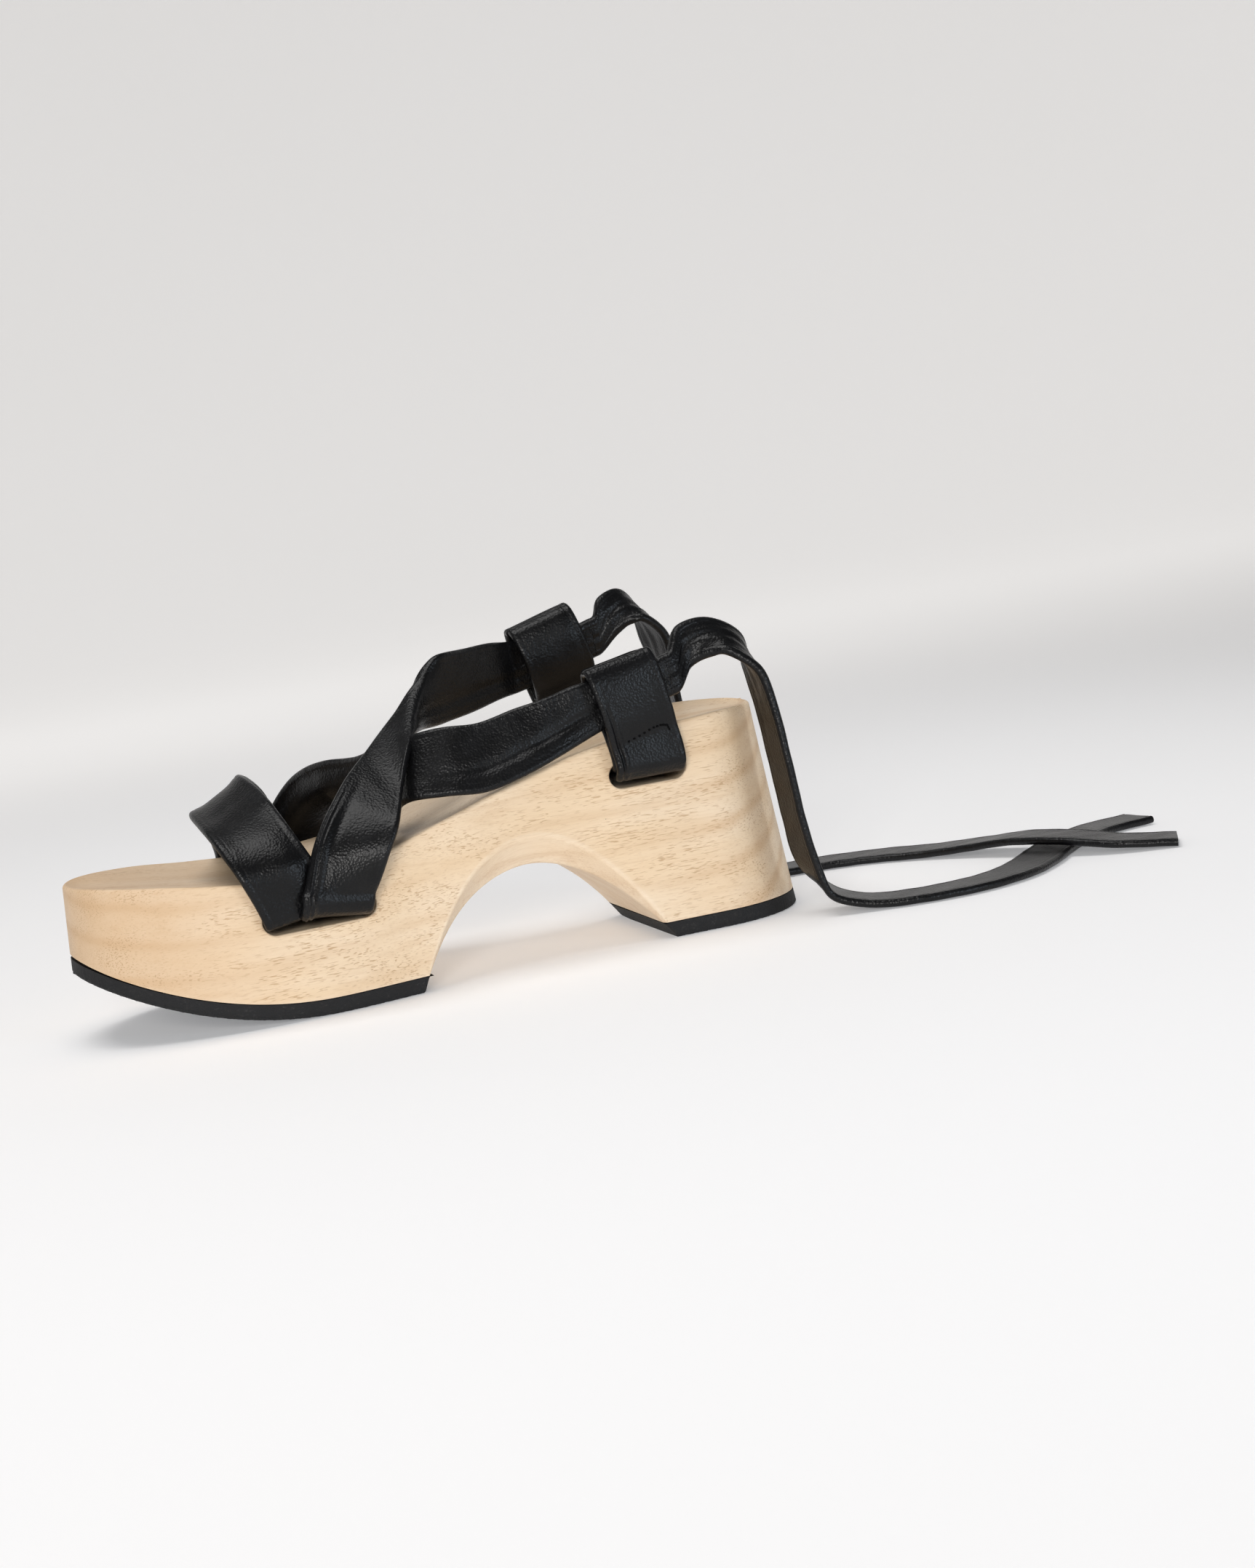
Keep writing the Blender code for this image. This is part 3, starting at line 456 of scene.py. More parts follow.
# %% [markdown]
# ## The free ends of the strap
#
# Beyond each keeper the strap is a free tie, which is wound round the ankle when the shoe is worn. Off
# the foot it is a limp flat cord: it leaves the keeper gathered, drops behind the heel under its own
# weight and lies on the floor in a loose curve. One end crosses the other in a long low hump. A physics
# run could drop it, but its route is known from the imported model, so the same points are used.

# %% Leather sizes and the place where a strap passes its keeper
STRAP_WIDTH = 0.0245
STRAP_THICKNESS = 0.0026
KEEPER_WIDTH = 0.0245
KEEPER_THICKNESS = 0.0024
KEEPER_ROOM = 0.0074
KEEPER_GATHER = 0.575
GATHERED_THICKNESS = 0.0042
INSTEP_RISE = 0.045
TIE_WIDTH = 0.018
LEATHER_GAP = 0.0003
KEEPER_TURN = 0.0100
# The way through a keeper's loop: its climb and bend behind the loop's middle, how far its middle
# lies above the loop's and off the wall, the strap's way across, and where it ends, in keeper widths
PASS_CLIMB, PASS_BEND = 0.20, 4.0
PASS_RISE, PASS_SWING = 0.0016, 0.0011
PASS_ACROSS = (0.10, 0.16, -1.0)
PASS_END = 0.60
# Where a tie starts behind its keeper, in keeper widths, and over how many rows it flattens out
TIE_STARTS = (PASS_END + 0.018, PASS_END + 0.10)
FLAT_ROWS = 6
# A tie whose run is level by less than this hangs, and is turned to face along the shoe
LEVEL_LEAST = 0.35
TIE_STEPS = 9
TIE_RIPPLE = 0.00012
# A keeper leans from this share of the slot's height, and meets the wall this far to the toe
LEAN_START = 0.7
FOOT_SHIFT = 0.002
KEEPERS = {
    # rise, stem, lean
    MEDIAL: (0.0420, 0.0165, math.radians(11)),
    LATERAL: (0.0565, 0.0260, math.radians(16)),
}


def wall_line(x, side, z, width):
    """Where a straight strap as wide as this lies against the wall, and its slope along the shoe."""
    steps = np.linspace(-width / 2, width / 2, 7)
    walls = wall_aside(x + steps, side, z)
    slope = (walls[-1] - walls[0]) / width
    return float(np.max(walls - slope * steps)), float(slope)


def keeper_lean(side, w):
    """How far a keeper has moved to the toe at a height above its slot's floor, and its turn."""
    lean = KEEPERS[side][2]
    above = max(0.0, w - LEAN_START * SLOT_HEIGHT)
    turn = min(1.0, above / KEEPER_TURN)
    shift = math.tan(lean) * (turn * turn * KEEPER_TURN / 2 + max(0.0, above - KEEPER_TURN))
    return -shift, lean * turn


def keeper_foot(side):
    """The middle of a keeper's foot, the wall there and the wall's slope along the shoe."""
    start, length, floor = HEEL_SLOT
    x = start + length / 2
    return x, *wall_line(x - FOOT_SHIFT, side, floor, KEEPER_WIDTH)


def keeper_pass(side, step):
    """A place on the strap's way through a keeper, step keeper widths behind the loop's middle."""
    x, wall, _ = keeper_foot(side)
    rise, stem, _ = KEEPERS[side]
    up = stem + 0.5 * (rise - stem) + PASS_RISE
    along = step * KEEPER_WIDTH
    climb = PASS_CLIMB * along + PASS_BEND * max(0.0, along) ** 2
    x += keeper_lean(side, up)[0] + along
    return np.array([x, side * (wall + PASS_SWING), HEEL_SLOT[2] + up + climb])


def pass_across(side):
    """The way across the strap in a keeper, from its upper edge to its lower one."""
    ahead, aside, up = PASS_ACROSS
    return ahead, side * aside, up


print("A strap passes the inner keeper at", np.round(keeper_pass(MEDIAL, 0) * 1000, 1), "mm")

# %% The free ties
MEDIAL_TIE = [
    # x, y, z, turned
    (0.2140, -0.0278, 0.0955, 78),
    (0.2225, -0.0290, 0.0975, 55),
    (0.2300, -0.0310, 0.0945, 25),
    (0.2350, -0.0335, 0.0855, 5),
    (0.2375, -0.0355, 0.0710, 0),
    (0.2390, -0.0375, 0.0520, 0),
    (0.2405, -0.0390, 0.0330, 0),
    (0.2430, -0.0405, 0.0170, 0),
    (0.2490, -0.0430, 0.0070, 0),
    (0.2600, -0.0470, 0.0026, 0),
    (0.2760, -0.0520, 0.0018, 0),
    (0.2950, -0.0530, 0.0018, 0),
    (0.3130, -0.0470, 0.0018, 0),
    (0.3280, -0.0350, 0.0018, 0),
    (0.3420, -0.0200, 0.0018, 0),
    (0.3570, -0.0060, 0.0018, 0),
    (0.3740, 0.0040, 0.0018, 0),
    (0.3930, 0.0080, 0.0018, 0),
]
LATERAL_TIE = [
    # x, y, z, turned
    (0.2080, 0.0318, 0.1060, 78),
    (0.2145, 0.0327, 0.1085, 55),
    (0.2200, 0.0340, 0.1055, 25),
    (0.2255, 0.0360, 0.0960, 5),
    (0.2285, 0.0375, 0.0810, 0),
    (0.2305, 0.0385, 0.0620, 0),
    (0.2325, 0.0395, 0.0420, 0),
    (0.2350, 0.0410, 0.0230, 0),
    (0.2405, 0.0430, 0.0095, 0),
    (0.2510, 0.0460, 0.0030, 0),
    (0.2670, 0.0480, 0.0018, 0),
    (0.2860, 0.0450, 0.0018, 0),
    (0.3030, 0.0370, 0.0018, 0),
    (0.3180, 0.0240, 0.0022, 0),
    (0.3300, 0.0090, 0.0040, 0),
    (0.3390, -0.0060, 0.0058, 0),
    (0.3490, -0.0220, 0.0056, 0),
    (0.3620, -0.0360, 0.0034, 0),
    (0.3790, -0.0450, 0.0018, 0),
]


def tie_stations(side, route):
    """Out of the keeper gathered and on edge, then along the route, flat and level across."""
    size = (STRAP_WIDTH * KEEPER_GATHER, GATHERED_THICKNESS)
    rows = [(*keeper_pass(side, step), *pass_across(side), *size) for step in TIE_STARTS]
    for i, (x, y, z, turned) in enumerate(route):
        angle = math.radians(turned)
        ahead = np.subtract(route[min(len(route) - 1, i + 1)][:3], route[max(0, i - 1)][:3])
        ahead = ahead / np.linalg.norm(ahead)
        level = np.array([ahead[1], -ahead[0], 0.0])
        if np.linalg.norm(level) < LEVEL_LEAST:
            level = np.array([0.0, -1.0, 0.0])
        level = level / np.linalg.norm(level)
        across = level * math.cos(angle) - np.cross(level, ahead) * math.sin(angle)
        flat = min(1.0, (i + 1) / FLAT_ROWS)
        width = STRAP_WIDTH * KEEPER_GATHER * (1 - flat) + TIE_WIDTH * flat
        thick = GATHERED_THICKNESS * (1 - flat) + STRAP_THICKNESS * flat
        rows.append((x, y, z, *across, width, thick))
    return curve_through(rows, TIE_STEPS)


TIE_FOLDS = [
    # start, end, here, there, wide, high: the gathers by the keeper die out on the way down
    (-0.02, 0.060, 0.40, 0.15, 0.26, 0.0004),
    (-0.02, 0.075, -0.25, -0.50, 0.22, 0.0003),
    (-0.02, 0.050, 0.05, -0.10, 0.20, -0.0003),
]
for tie_name, side, route in (
    ("tie_medial", MEDIAL, MEDIAL_TIE),
    ("tie_lateral", LATERAL, LATERAL_TIE),
):
    stations = tie_stations(side, route)
    tie = make_strap(tie_name + "_leather", stations, TIE_FOLDS, SEAM, TIE_RIPPLE)
    join_shoe(tie, "strap_leather", tie_name)
    path = stations[:, :3] - TOE_FRAME

# %% [markdown]
# ## The wooden platform
#
# The real one is sawn from a single block: the outline first, then the arch from side to side, then a
# drum sander takes a broad chamfer off both of the arch's edges. A cube cut with booleans would do,
# but every boolean leaves ragged triangles that catch the light. So the arch and its chamfer are in the
# grid: at each place along the shoe, one ring runs up a wall, over the seat and back underneath. Only
# the two slots are cut, because a hole can't be part of such a grid.

# %% Wood rings
WALL_STEPS = 26
ROUND_STEPS = 6
SEAT_STEPS = 26
UNDER_STEPS = 8
CORNER_STEPS = 4
RIM_ROUND = 0.0011
# A point is never inset by more than this share of the half width
INSET_LIMIT = 0.98


def wood_turns():
    """Places along the shoe, closer together where the arch's line meets the floor."""
    feet = [turn_at(np.linspace(*foot, 25)) for foot in (FRONT_FOOT, REAR_FOOT)]
    return np.unique(np.concatenate([np.linspace(0, 1, 231), *feet]))


def bend_between(a, corner, b):
    """A rounded corner: the quadratic Bezier curve (1-t)^2 a + 2t(1-t) corner + t^2 b."""
    t = np.linspace(0, 1, CORNER_STEPS + 1)
    return (1 - t) ** 2 * a[..., None] + 2 * t * (1 - t) * corner[..., None] + t**2 * b[..., None]


def wood_half_ring(turn, side):
    """Half a ring's points, as inset from the wall and height: from the middle of the underside out
    to the arch's inner line, over the rounded chamfer, up the wall and round the seat's edge."""
    x = plan_point(turn, LATERAL)[..., 0]
    foot, edge = wood_foot(x), seat_edge(x)
    inner, outer = arch_lines(x)
    low = np.maximum(foot, inner)
    high = np.maximum(foot, outer)
    deep = high - low
    trim = np.minimum(RIM_ROUND, deep * 0.45)
    slant = trim / math.sqrt(2)
    zero = np.zeros_like(x)
    inner_inset = bend_between(deep + trim, deep, deep - slant)
    inner_height = bend_between(low, low, low + slant)
    outer_inset = bend_between(slant, zero, zero)
    outer_height = bend_between(high - slant, high, high + trim)
    t = np.linspace(0, 1, WALL_STEPS + 1)[1:]
    base, top = (high + trim)[..., None], (edge - EDGE_ROUND)[..., None]
    wall_height = base + (top - base) * t
    arc = np.linspace(0, np.pi / 2, ROUND_STEPS + 1)[1:]
    round_inset = np.broadcast_to(EDGE_ROUND * (1 - np.cos(arc)), (*x.shape, ROUND_STEPS))
    round_height = top + EDGE_ROUND * np.sin(arc)
    inset = [inner_inset, outer_inset, np.zeros_like(wall_height), round_inset]
    height = [inner_height, outer_height, wall_height, round_height]
    inset, height = np.concatenate(inset, -1), np.concatenate(height, -1)
    room = np.maximum(half_width(x), NARROW)[..., None]
    inset = np.minimum(inset, room * INSET_LIMIT)
    place = wall_point(turn[..., None], side, height, inset)
    return np.concatenate([place, height[..., None]], -1)


def both_halves(half_ring, turn, *rest):
    """The half rings of the inner and the outer side, which are one at the shoe's two tips."""
    near, far = half_ring(turn, MEDIAL, *rest), half_ring(turn, LATERAL, *rest)
    tip = (turn <= 0) | (turn >= 1)
    near[tip] = far[tip]
    return near, far


def wood_grid():
    """Whole rings: one wall, the dished seat, the other wall and the underside between them. The
    seat sinks by its dish times 1 - (2t - 1)^2 across."""
    turn = wood_turns()
    near, far = both_halves(wood_half_ring, turn)
    x = plan_point(turn, LATERAL)[..., 0]
    dish = SEAT_DISH * np.minimum(1.0, half_width(x) / (BALL_WIDTH / 4))
    t = np.linspace(0, 1, SEAT_STEPS + 1)[1:-1][None, :, None]
    seat = near[:, -1:] * (1 - t) + far[:, -1:] * t
    seat[..., 2] -= dish[:, None] * (1 - (2 * t[..., 0] - 1) ** 2)
    t = np.linspace(0, 1, UNDER_STEPS + 1)[1:-1][None, :, None]
    under = far[:, :1] * (1 - t) + near[:, :1] * t
    return np.concatenate([near, seat, far[:, ::-1], under], axis=1)


wood_points = wood_grid()
wood_faces = grid_faces(*wood_points.shape[:2], True)
under_half = 2 * (CORNER_STEPS + 1)
# The sanded chamfers and the arch's underside: the finish gives them fewer flecks, and paints them
# lighter as painted light from below.
sanded_painted_light = np.zeros(wood_points.shape[:2])
sanded_painted_light[:, :under_half] = 1.0
sanded_painted_light[:, -under_half - UNDER_STEPS + 1 :] = 1.0
wood_body = mesh_piece("wood_block", wood_points, wood_faces, layers={"sanded_painted_light": sanded_painted_light})
print("Grid of the wood:", wood_points.shape[:2])

# %% [markdown]
# ## The slots
#
# A slot is a row of drilled holes joined by a router, so its ends are round and its rim is eased with
# sandpaper. The cutter is a tunnel with the slot's outline that flares by the rim's radius as it meets
# each wall. Cutting with it leaves the eased rim behind, so no bevel is needed afterwards.

# %% Slot cutters
RIM_EASE = 0.0007
SLOT_CORNERS = 40
# Beyond the wall the cutter flares to this many times the rim's radius, this far out
CUTTER_FLARE, CUTTER_REACH = 1.4, 0.012


def slot_cutter(name, slot):
    """A closed tunnel whose outline is a stadium. Its radius grows by ease * (1 - cos a) while its
    depth below the wall falls by ease * sin a, for a from 0 to a right angle."""
    start, length, floor = slot
    radius = SLOT_HEIGHT / 2
    angle = np.linspace(-np.pi / 2, np.pi / 2, SLOT_CORNERS // 2)
    angle = np.concatenate([angle, angle + np.pi])
    right_end, left_end = start + length - radius, start + radius
    centre = np.where(np.arange(SLOT_CORNERS) < SLOT_CORNERS // 2, right_end, left_end)
    rings = []
    arc = np.linspace(0, np.pi / 2, 6)
    for side in (MEDIAL, LATERAL):
        flare = RIM_EASE * (1 - np.cos(arc))
        depth = RIM_EASE * (1 - np.sin(arc))
        wide = np.concatenate([flare, [RIM_EASE * CUTTER_FLARE]])
        below = np.concatenate([depth, [-CUTTER_REACH]])
        x = centre + (radius + wide[:, None]) * np.cos(angle)
        z = floor + radius + (radius + wide[:, None]) * np.sin(angle)
        y = side * (wall_aside(x, side, z) - below[:, None])
        ring = np.stack([x, y, z], -1)
        rings.append(ring[::-1] if side == MEDIAL else ring)
    points = np.concatenate(rings)
    size = (len(points), SLOT_CORNERS)
    return mesh_piece(name, points, grid_faces(*size, True), end_caps(*size))


def cut_away(piece, cutters):
    """The piece's mesh after exact booleans, with the cutters removed from the scene."""
    for cutter in cutters:
        cut = piece.modifiers.new("cut", "BOOLEAN")
        cut.operation = "DIFFERENCE"
        cut.solver = "EXACT"
        cut.object = cutter
    graph = bpy.context.evaluated_depsgraph_get()
    mesh = bpy.data.meshes.new_from_object(piece.evaluated_get(graph))
    piece.modifiers.clear()
    piece.data = mesh
    for cutter in cutters:
        bpy.data.objects.remove(cutter, do_unlink=True)


cut_away(wood_body, [slot_cutter("front_slot", FRONT_SLOT), slot_cutter("heel_slot", HEEL_SLOT)])
wood_body.name = "platform_wood"
wood_body.data.name = "platform_wood"
wood_body.data.shade_smooth()
wood_body.data.set_sharp_from_angle(angle=math.radians(38))
even_light = wood_body.modifiers.new("even_light", "WEIGHTED_NORMAL")
even_light.keep_sharp = True
join_shoe(wood_body, "wood", "platform")

# %% [markdown]
# ## The rubber soles
#
# Sheet rubber is glued on and trimmed with a knife, then sanded flush with the wood. Its cut edge stays
# a little ragged, and its inner ends follow the arch. A thin box would look moulded, so the outline is
# followed as the wood's was, and slow and quick waves of a third of a millimetre move the lower edge.

# %% Rubber
RAGGED = 0.00035
RAGGED_WAVES = [
    # radians to a metre, high, start
    (1310, 1.0, 0.0),
    (2270, 0.8, 1.7),
    (4010, 0.7, 0.4),
    (6100, 0.5, 2.9),
]
SOLE_EASE = 0.0008
SOLE_STEPS = 420
SOLE_EDGE = np.array([
    # inset, eased: share of the lower edge's rounding, up: share of the way to the top, and ragged
    (0.0120, 0.00, 0.0, 0.0),
    (0.0040, 0.00, 0.0, 0.0),
    (0.0016, 0.00, 0.0, 0.2),
    (0.0008, 0.12, 0.0, 0.6),
    (0.0003, 0.45, 0.0, 1.0),
    (0.0000, 1.00, 0.0, 1.0),
    (0.0000, 1.00, 0.3, 0.4),
    (0.0000, 1.00, 0.7, 0.1),
    (0.0000, 1.00, 1.0, 0.0),
])


def ragged_edge(run):
    """Waves that don't repeat, between -1 and 1: the sum of sines of unrelated lengths, over the sum
    of their heights."""
    waves = sum(high * np.sin(run * often + start) for often, high, start in RAGGED_WAVES)
    return waves / sum(high for _, high, _ in RAGGED_WAVES)


def sole_half_ring(turn, side, thickness):
    """Half a ring of rubber as inset and height: its underside, the trimmed lower edge, the wall and
    the top under the wood. The arch's lines lift the lower points where they pass over them, and a
    point inset at the toe has the toe spring's height of its own place."""
    x = plan_point(turn, LATERAL)[..., 0]
    top = wood_foot(x) - SEAT_GAP
    foot = top - thickness
    edge = plan_point(turn, np.full_like(turn, side))
    run = np.concatenate([[0.0], np.cumsum(np.linalg.norm(np.diff(edge, axis=0), axis=-1))])
    rough = ragged_edge(run + 0.01 * side) * RAGGED
    inset, eased, up, ragged = SOLE_EDGE.T
    height = foot[:, None] + SOLE_EASE * eased
    height = height + up * (top[:, None] - height)
    inset = inset + 0.6 * np.abs(rough)[:, None] * ragged
    height = height + 0.5 * rough[:, None] * ragged * (eased > 0)
    inner, outer = arch_lines(x)
    bevel = np.maximum(inner[:, None], outer[:, None] - inset)
    height = np.clip(height, np.minimum(bevel, top[:, None]), top[:, None])
    room = np.maximum(half_width(x), NARROW)[:, None]
    inset = np.minimum(inset, room * INSET_LIMIT)
    place = wall_point(turn[:, None], side, height, inset)
    height = height + wood_foot(place[..., 0]) - wood_foot(x)[:, None]
    return np.concatenate([place, height[..., None]], -1)


def make_sole(name, node, first_x, last_x, thickness):
    """The rubber between two places along the shoe, closed where the arch's line reaches its top."""
    even = np.linspace(turn_at(first_x), turn_at(last_x), SOLE_STEPS)
    turn = np.unique(np.concatenate([even, turn_at(np.linspace(*FRONT_FOOT, 40))]))
    turn = turn[(turn >= even[0]) & (turn <= even[-1])]
    near, far = both_halves(sole_half_ring, turn, thickness)
    points = np.concatenate([near, far[:, ::-1]], axis=1)
    size = points.shape[:2]
    caps = end_caps(*size, (first_x > 0, last_x < LENGTH))
    sole = mesh_piece(name, points, grid_faces(*size, True), caps, sharp=35.0)
    return join_shoe(sole, "sole_rubber", node)


def arch_reach(height, front):
    """Where the arch's inner line passes a height, on the toe's side or the heel's."""
    x = np.linspace(ARCH_MIDDLE - ARCH_LENGTH / 2, ARCH_MIDDLE + ARCH_LENGTH / 2, 4001)
    low = arch_lines(x)[0] < height
    x = x[low & (x < ARCH_MIDDLE)] if front else x[low & (x > ARCH_MIDDLE)]
    return float(x.max() if front else x.min())


front_end = arch_reach(FOREFOOT_RUBBER, True)
heel_start = arch_reach(HEEL_RUBBER, False)
forefoot_sole = make_sole("forefoot_rubber", "forefoot_sole", 0.0, front_end, FOREFOOT_RUBBER)
heel_lift = make_sole("heel_rubber", "heel_lift", heel_start, LENGTH, HEEL_RUBBER)

# %% [markdown]
# ## The straps over the foot
#
# One strap makes the whole upper. Its middle is the band over the toes. Both ends dive into the front
# slots, pass each other inside the wood, come out beside the band on the opposite side and cross over
# the instep on their way to the keepers. Each run is its own table: where the strap is, how wide it is,
# and which way its width points.

# %% Routes of the straps
# In the front slots: the places of the band and of the arm as shares of the slot's length, how far
# each is tilted, shifts to the heel outside the wall and drifts with its height, and how far inward
# of the wall it counts as outside already
BAND_PLACE, ARM_PLACE = 0.352, 0.628
MOUTH_TILT = (0.15, -0.13)
MOUTH_SHIFT = (-0.0009, 0.0)
MOUTH_DRIFT = (-0.26, 0.21)
MOUTH_EDGE = 0.0020
# The band's level as a share of the slot's height, its bend's height, and its height above the
# slot's roof where it has left the mouth. Then how far an arm is raised off the slot's floor, its
# bend's height as a share of its place out, and its height above the roof. Last, how far an arm is
# tucked in on the band, stands out where it has left the mouth and bulges in its bend
BAND_LEVEL, BAND_BEND, BAND_ABOVE = 0.55, 0.0022, 0.0030
ARM_RAISED, ARM_BEND, ARM_ABOVE = 0.0021, 0.9, 0.0013
ARM_TUCK, ARM_OUT, ARM_BULGE = 0.0002, 0.0001, 0.0004
BAND_MOUTH = [
    # inward of the wall, wide
    (0.0170, 0.92),
    (0.0070, 0.92),
    (0.0010, 0.95),
]
ARM_MOUTH = [
    # inward of the wall, wide
    (0.0080, 0.90),
    (0.0015, 0.91),
]
BAND_TURNS, ARM_TURNS = np.radians((30, 60, 90)), np.radians((25, 55, 85))
BENT_WIDTH = 0.98
TUNNEL_LEVEL = 0.58
TUNNEL_WIDTH, TUNNEL_THICKNESS = 0.90, 0.94
TUNNEL_PLACES = (-0.72, -0.50, -0.20, 0.20, 0.55)
TOE_BAND = [
    # along, aside, rise, wide, ahead, across, up
    (0.286, 1.035, 0.02, 1.00, 0.99, 0.03, 0.13),
    (0.280, 0.93, 0.18, 1.00, 0.97, 0.10, 0.20),
    (0.267, 0.66, 0.36, 1.00, 0.92, 0.25, 0.30),
    (0.243, 0.28, 0.495, 1.00, 0.86, 0.36, 0.36),
    (0.228, 0.00, 0.525, 1.00, 0.83, 0.40, 0.38),
    (0.232, -0.35, 0.465, 1.00, 0.92, 0.20, 0.30),
    (0.238, -0.67, 0.37, 1.00, 0.97, 0.10, 0.19),
    (0.247, -0.90, 0.25, 1.00, 0.985, 0.05, 0.16),
    (0.259, -1.03, 0.10, 1.00, 0.99, 0.00, 0.13),
]
MEDIAL_ARM = [
    # along, aside, rise, wide, ahead, across, up
    (0.338, -1.078, -0.10, 1.00, 0.99, -0.04, -0.06),
    (0.358, -1.056, 0.12, 0.99, 0.90, -0.30, -0.20),
    (0.386, -0.93, 0.305, 0.98, 0.70, -0.58, -0.36),
    (0.406, -0.775, 0.405, 0.98, 0.52, -0.71, -0.46),
    (0.429, -0.59, 0.49, 0.98, 0.28, -0.83, -0.49),
    (0.455, -0.40, 0.595, 0.98, 0.08, -0.91, -0.42),
    (0.477, -0.27, 0.675, 0.98, -0.08, -0.90, -0.42),
    (0.500, -0.12, 0.75, 0.98, -0.22, -0.76, -0.58),
    (0.525, 0.06, 0.785, 0.98, -0.30, -0.32, -0.88),
    (0.557, 0.22, 0.755, 0.98, -0.10, 0.08, -0.98),
    (0.603, 0.42, 0.695, 0.93, 0.06, 0.18, -0.97),
    (0.652, 0.62, 0.648, 0.85, 0.12, 0.20, -0.96),
]
LATERAL_ARM = [
    # along, aside, rise, wide, ahead, across, up
    (0.342, 1.080, -0.08, 1.00, 1.00, 0.03, -0.02),
    (0.362, 1.030, 0.10, 0.98, 0.99, 0.05, -0.12),
    (0.385, 0.86, 0.25, 0.98, 0.90, 0.08, -0.42),
    (0.404, 0.48, 0.32, 0.98, 0.68, 0.04, -0.73),
    (0.434, 0.03, 0.32, 0.98, 0.25, -0.14, -0.95),
    (0.468, -0.55, 0.43, 0.98, -0.30, -0.42, -0.84),
    (0.507, -0.67, 0.38, 0.98, -0.18, -0.42, -0.88),
    (0.557, -0.72, 0.285, 0.98, -0.10, -0.42, -0.90),
    (0.609, -0.73, 0.265, 0.94, -0.02, -0.40, -0.92),
    (0.656, -0.73, 0.265, 0.82, 0.06, -0.30, -0.94),
]


def strap_rows(table):
    """A table in metres: centre, way across, width and thickness."""
    rows = []
    for along, aside, rise, wide, *across in table:
        x = along * LENGTH
        z = float(seat_edge(np.array(x))) + rise * INSTEP_RISE
        rows.append((x, aside * BALL_WIDTH / 2, z, *across, wide * STRAP_WIDTH, STRAP_THICKNESS))
    return rows


def mouth_rows(side, x, layer):
    """A strap's way from the tunnel through a slot's mouth and up along the wall, inside first.
    Layer 0 is the band, close to the wall, and layer 1 an arm, which swings out and rises over it."""
    floor = FRONT_SLOT[2]
    roof = floor + SLOT_HEIGHT
    wall, slope = wall_line(x, side, floor, STRAP_WIDTH)
    bend = LEATHER_GAP + STRAP_THICKNESS / 2
    if layer == 0:
        inside = floor + BAND_LEVEL * SLOT_HEIGHT
        mouth, turns, swing, rise = BAND_MOUTH, BAND_TURNS, bend, BAND_BEND
        last = (wall + bend, roof + BAND_ABOVE, 1.0)
    else:
        inside = floor + bend + ARM_RAISED
        out = bend + STRAP_THICKNESS - ARM_TUCK
        mouth, turns, swing, rise = ARM_MOUTH, ARM_TURNS, out + ARM_BULGE, ARM_BEND * out
        last = (wall + out + ARM_OUT, roof + ARM_ABOVE, 1.0)
    places = [(wall - inward, inside, wide) for inward, wide in mouth]
    for angle in turns:
        height = inside + rise * (1 - math.cos(angle))
        places.append((wall + swing * math.sin(angle), height, BENT_WIDTH))
    along = (1, side * slope, MOUTH_TILT[layer])
    shift, drift = MOUTH_SHIFT[layer], MOUTH_DRIFT[layer]
    rows = []
    for y, z, w in (*places, last):
        outside = 1.0 if y > wall - MOUTH_EDGE else 0.0
        here = x + outside * shift + drift * (z - inside)
        rows.append((here, side * y, z, *along, w * STRAP_WIDTH, STRAP_THICKNESS))
    return rows


def tunnel_rows(side, front_x, rear_x):
    """The strap inside the wood, from under one slot's roof to above the other slot's floor."""
    floor = FRONT_SLOT[2]
    high = floor + TUNNEL_LEVEL * SLOT_HEIGHT
    low = floor + LEATHER_GAP + STRAP_THICKNESS / 2
    size = (TUNNEL_WIDTH * STRAP_WIDTH, TUNNEL_THICKNESS * STRAP_THICKNESS)
    first, last = TUNNEL_PLACES[0], TUNNEL_PLACES[-1]
    rows = []
    for share in TUNNEL_PLACES:
        t = (share - first) / (last - first)
        x, z = front_x * (1 - t) + rear_x * t, high * (1 - t) + low * t
        rows.append((x, side * share * BALL_WIDTH / 2, z, 1, 0, 0, *size))
    return rows


# Where an arm ends behind its keeper, in keeper widths, and how much higher it lies one keeper width
# before the loop's middle
ARM_END = PASS_END + 0.010
PASS_LIFT = {MEDIAL: 0.0, LATERAL: 0.0022}
KEEPER_WIDTHS = {
    # step, wide
    MEDIAL: ((-0.62, 1.28), (-0.25, 1.10), (0.10, 1.0), (0.38, 1.0), (ARM_END, 1.0)),
    LATERAL: ((-0.62, 1.34), (-0.25, 1.18), (0.10, 1.0), (0.38, 1.0), (ARM_END, 1.0)),
}


def keeper_pass_rows(side):
    """The gathered strap through the keeper's loop, to just beyond its rear edge."""
    rows = []
    for step, wide in KEEPER_WIDTHS[side]:
        width = wide * KEEPER_GATHER * STRAP_WIDTH
        x, y, z = keeper_pass(side, step)
        z += PASS_LIFT[side] * max(0.0, -step)
        rows.append((x, y, z, *pass_across(side), width, GATHERED_THICKNESS / wide))
    return rows


# %% Straps with their folds
front_x = FRONT_SLOT[0] + BAND_PLACE * FRONT_SLOT[1]
rear_x = FRONT_SLOT[0] + ARM_PLACE * FRONT_SLOT[1]
band_rows = mouth_rows(LATERAL, front_x, 0) + strap_rows(TOE_BAND)
band_rows += mouth_rows(MEDIAL, front_x, 0)[::-1]
BAND_FOLDS = [
    # start, end, here, there, wide, high
    (0.040, 0.140, 1.00, 1.00, 0.35, -0.0010),
    (0.040, 0.150, -1.00, -1.00, 0.35, -0.0010),
    (0.112, 0.200, 1.02, 0.95, 0.42, 0.0026),
]
band = make_strap("toe_band", curve_through(band_rows), BAND_FOLDS, SEAM, 0.00006)
join_shoe(band, "strap_leather", "straps")

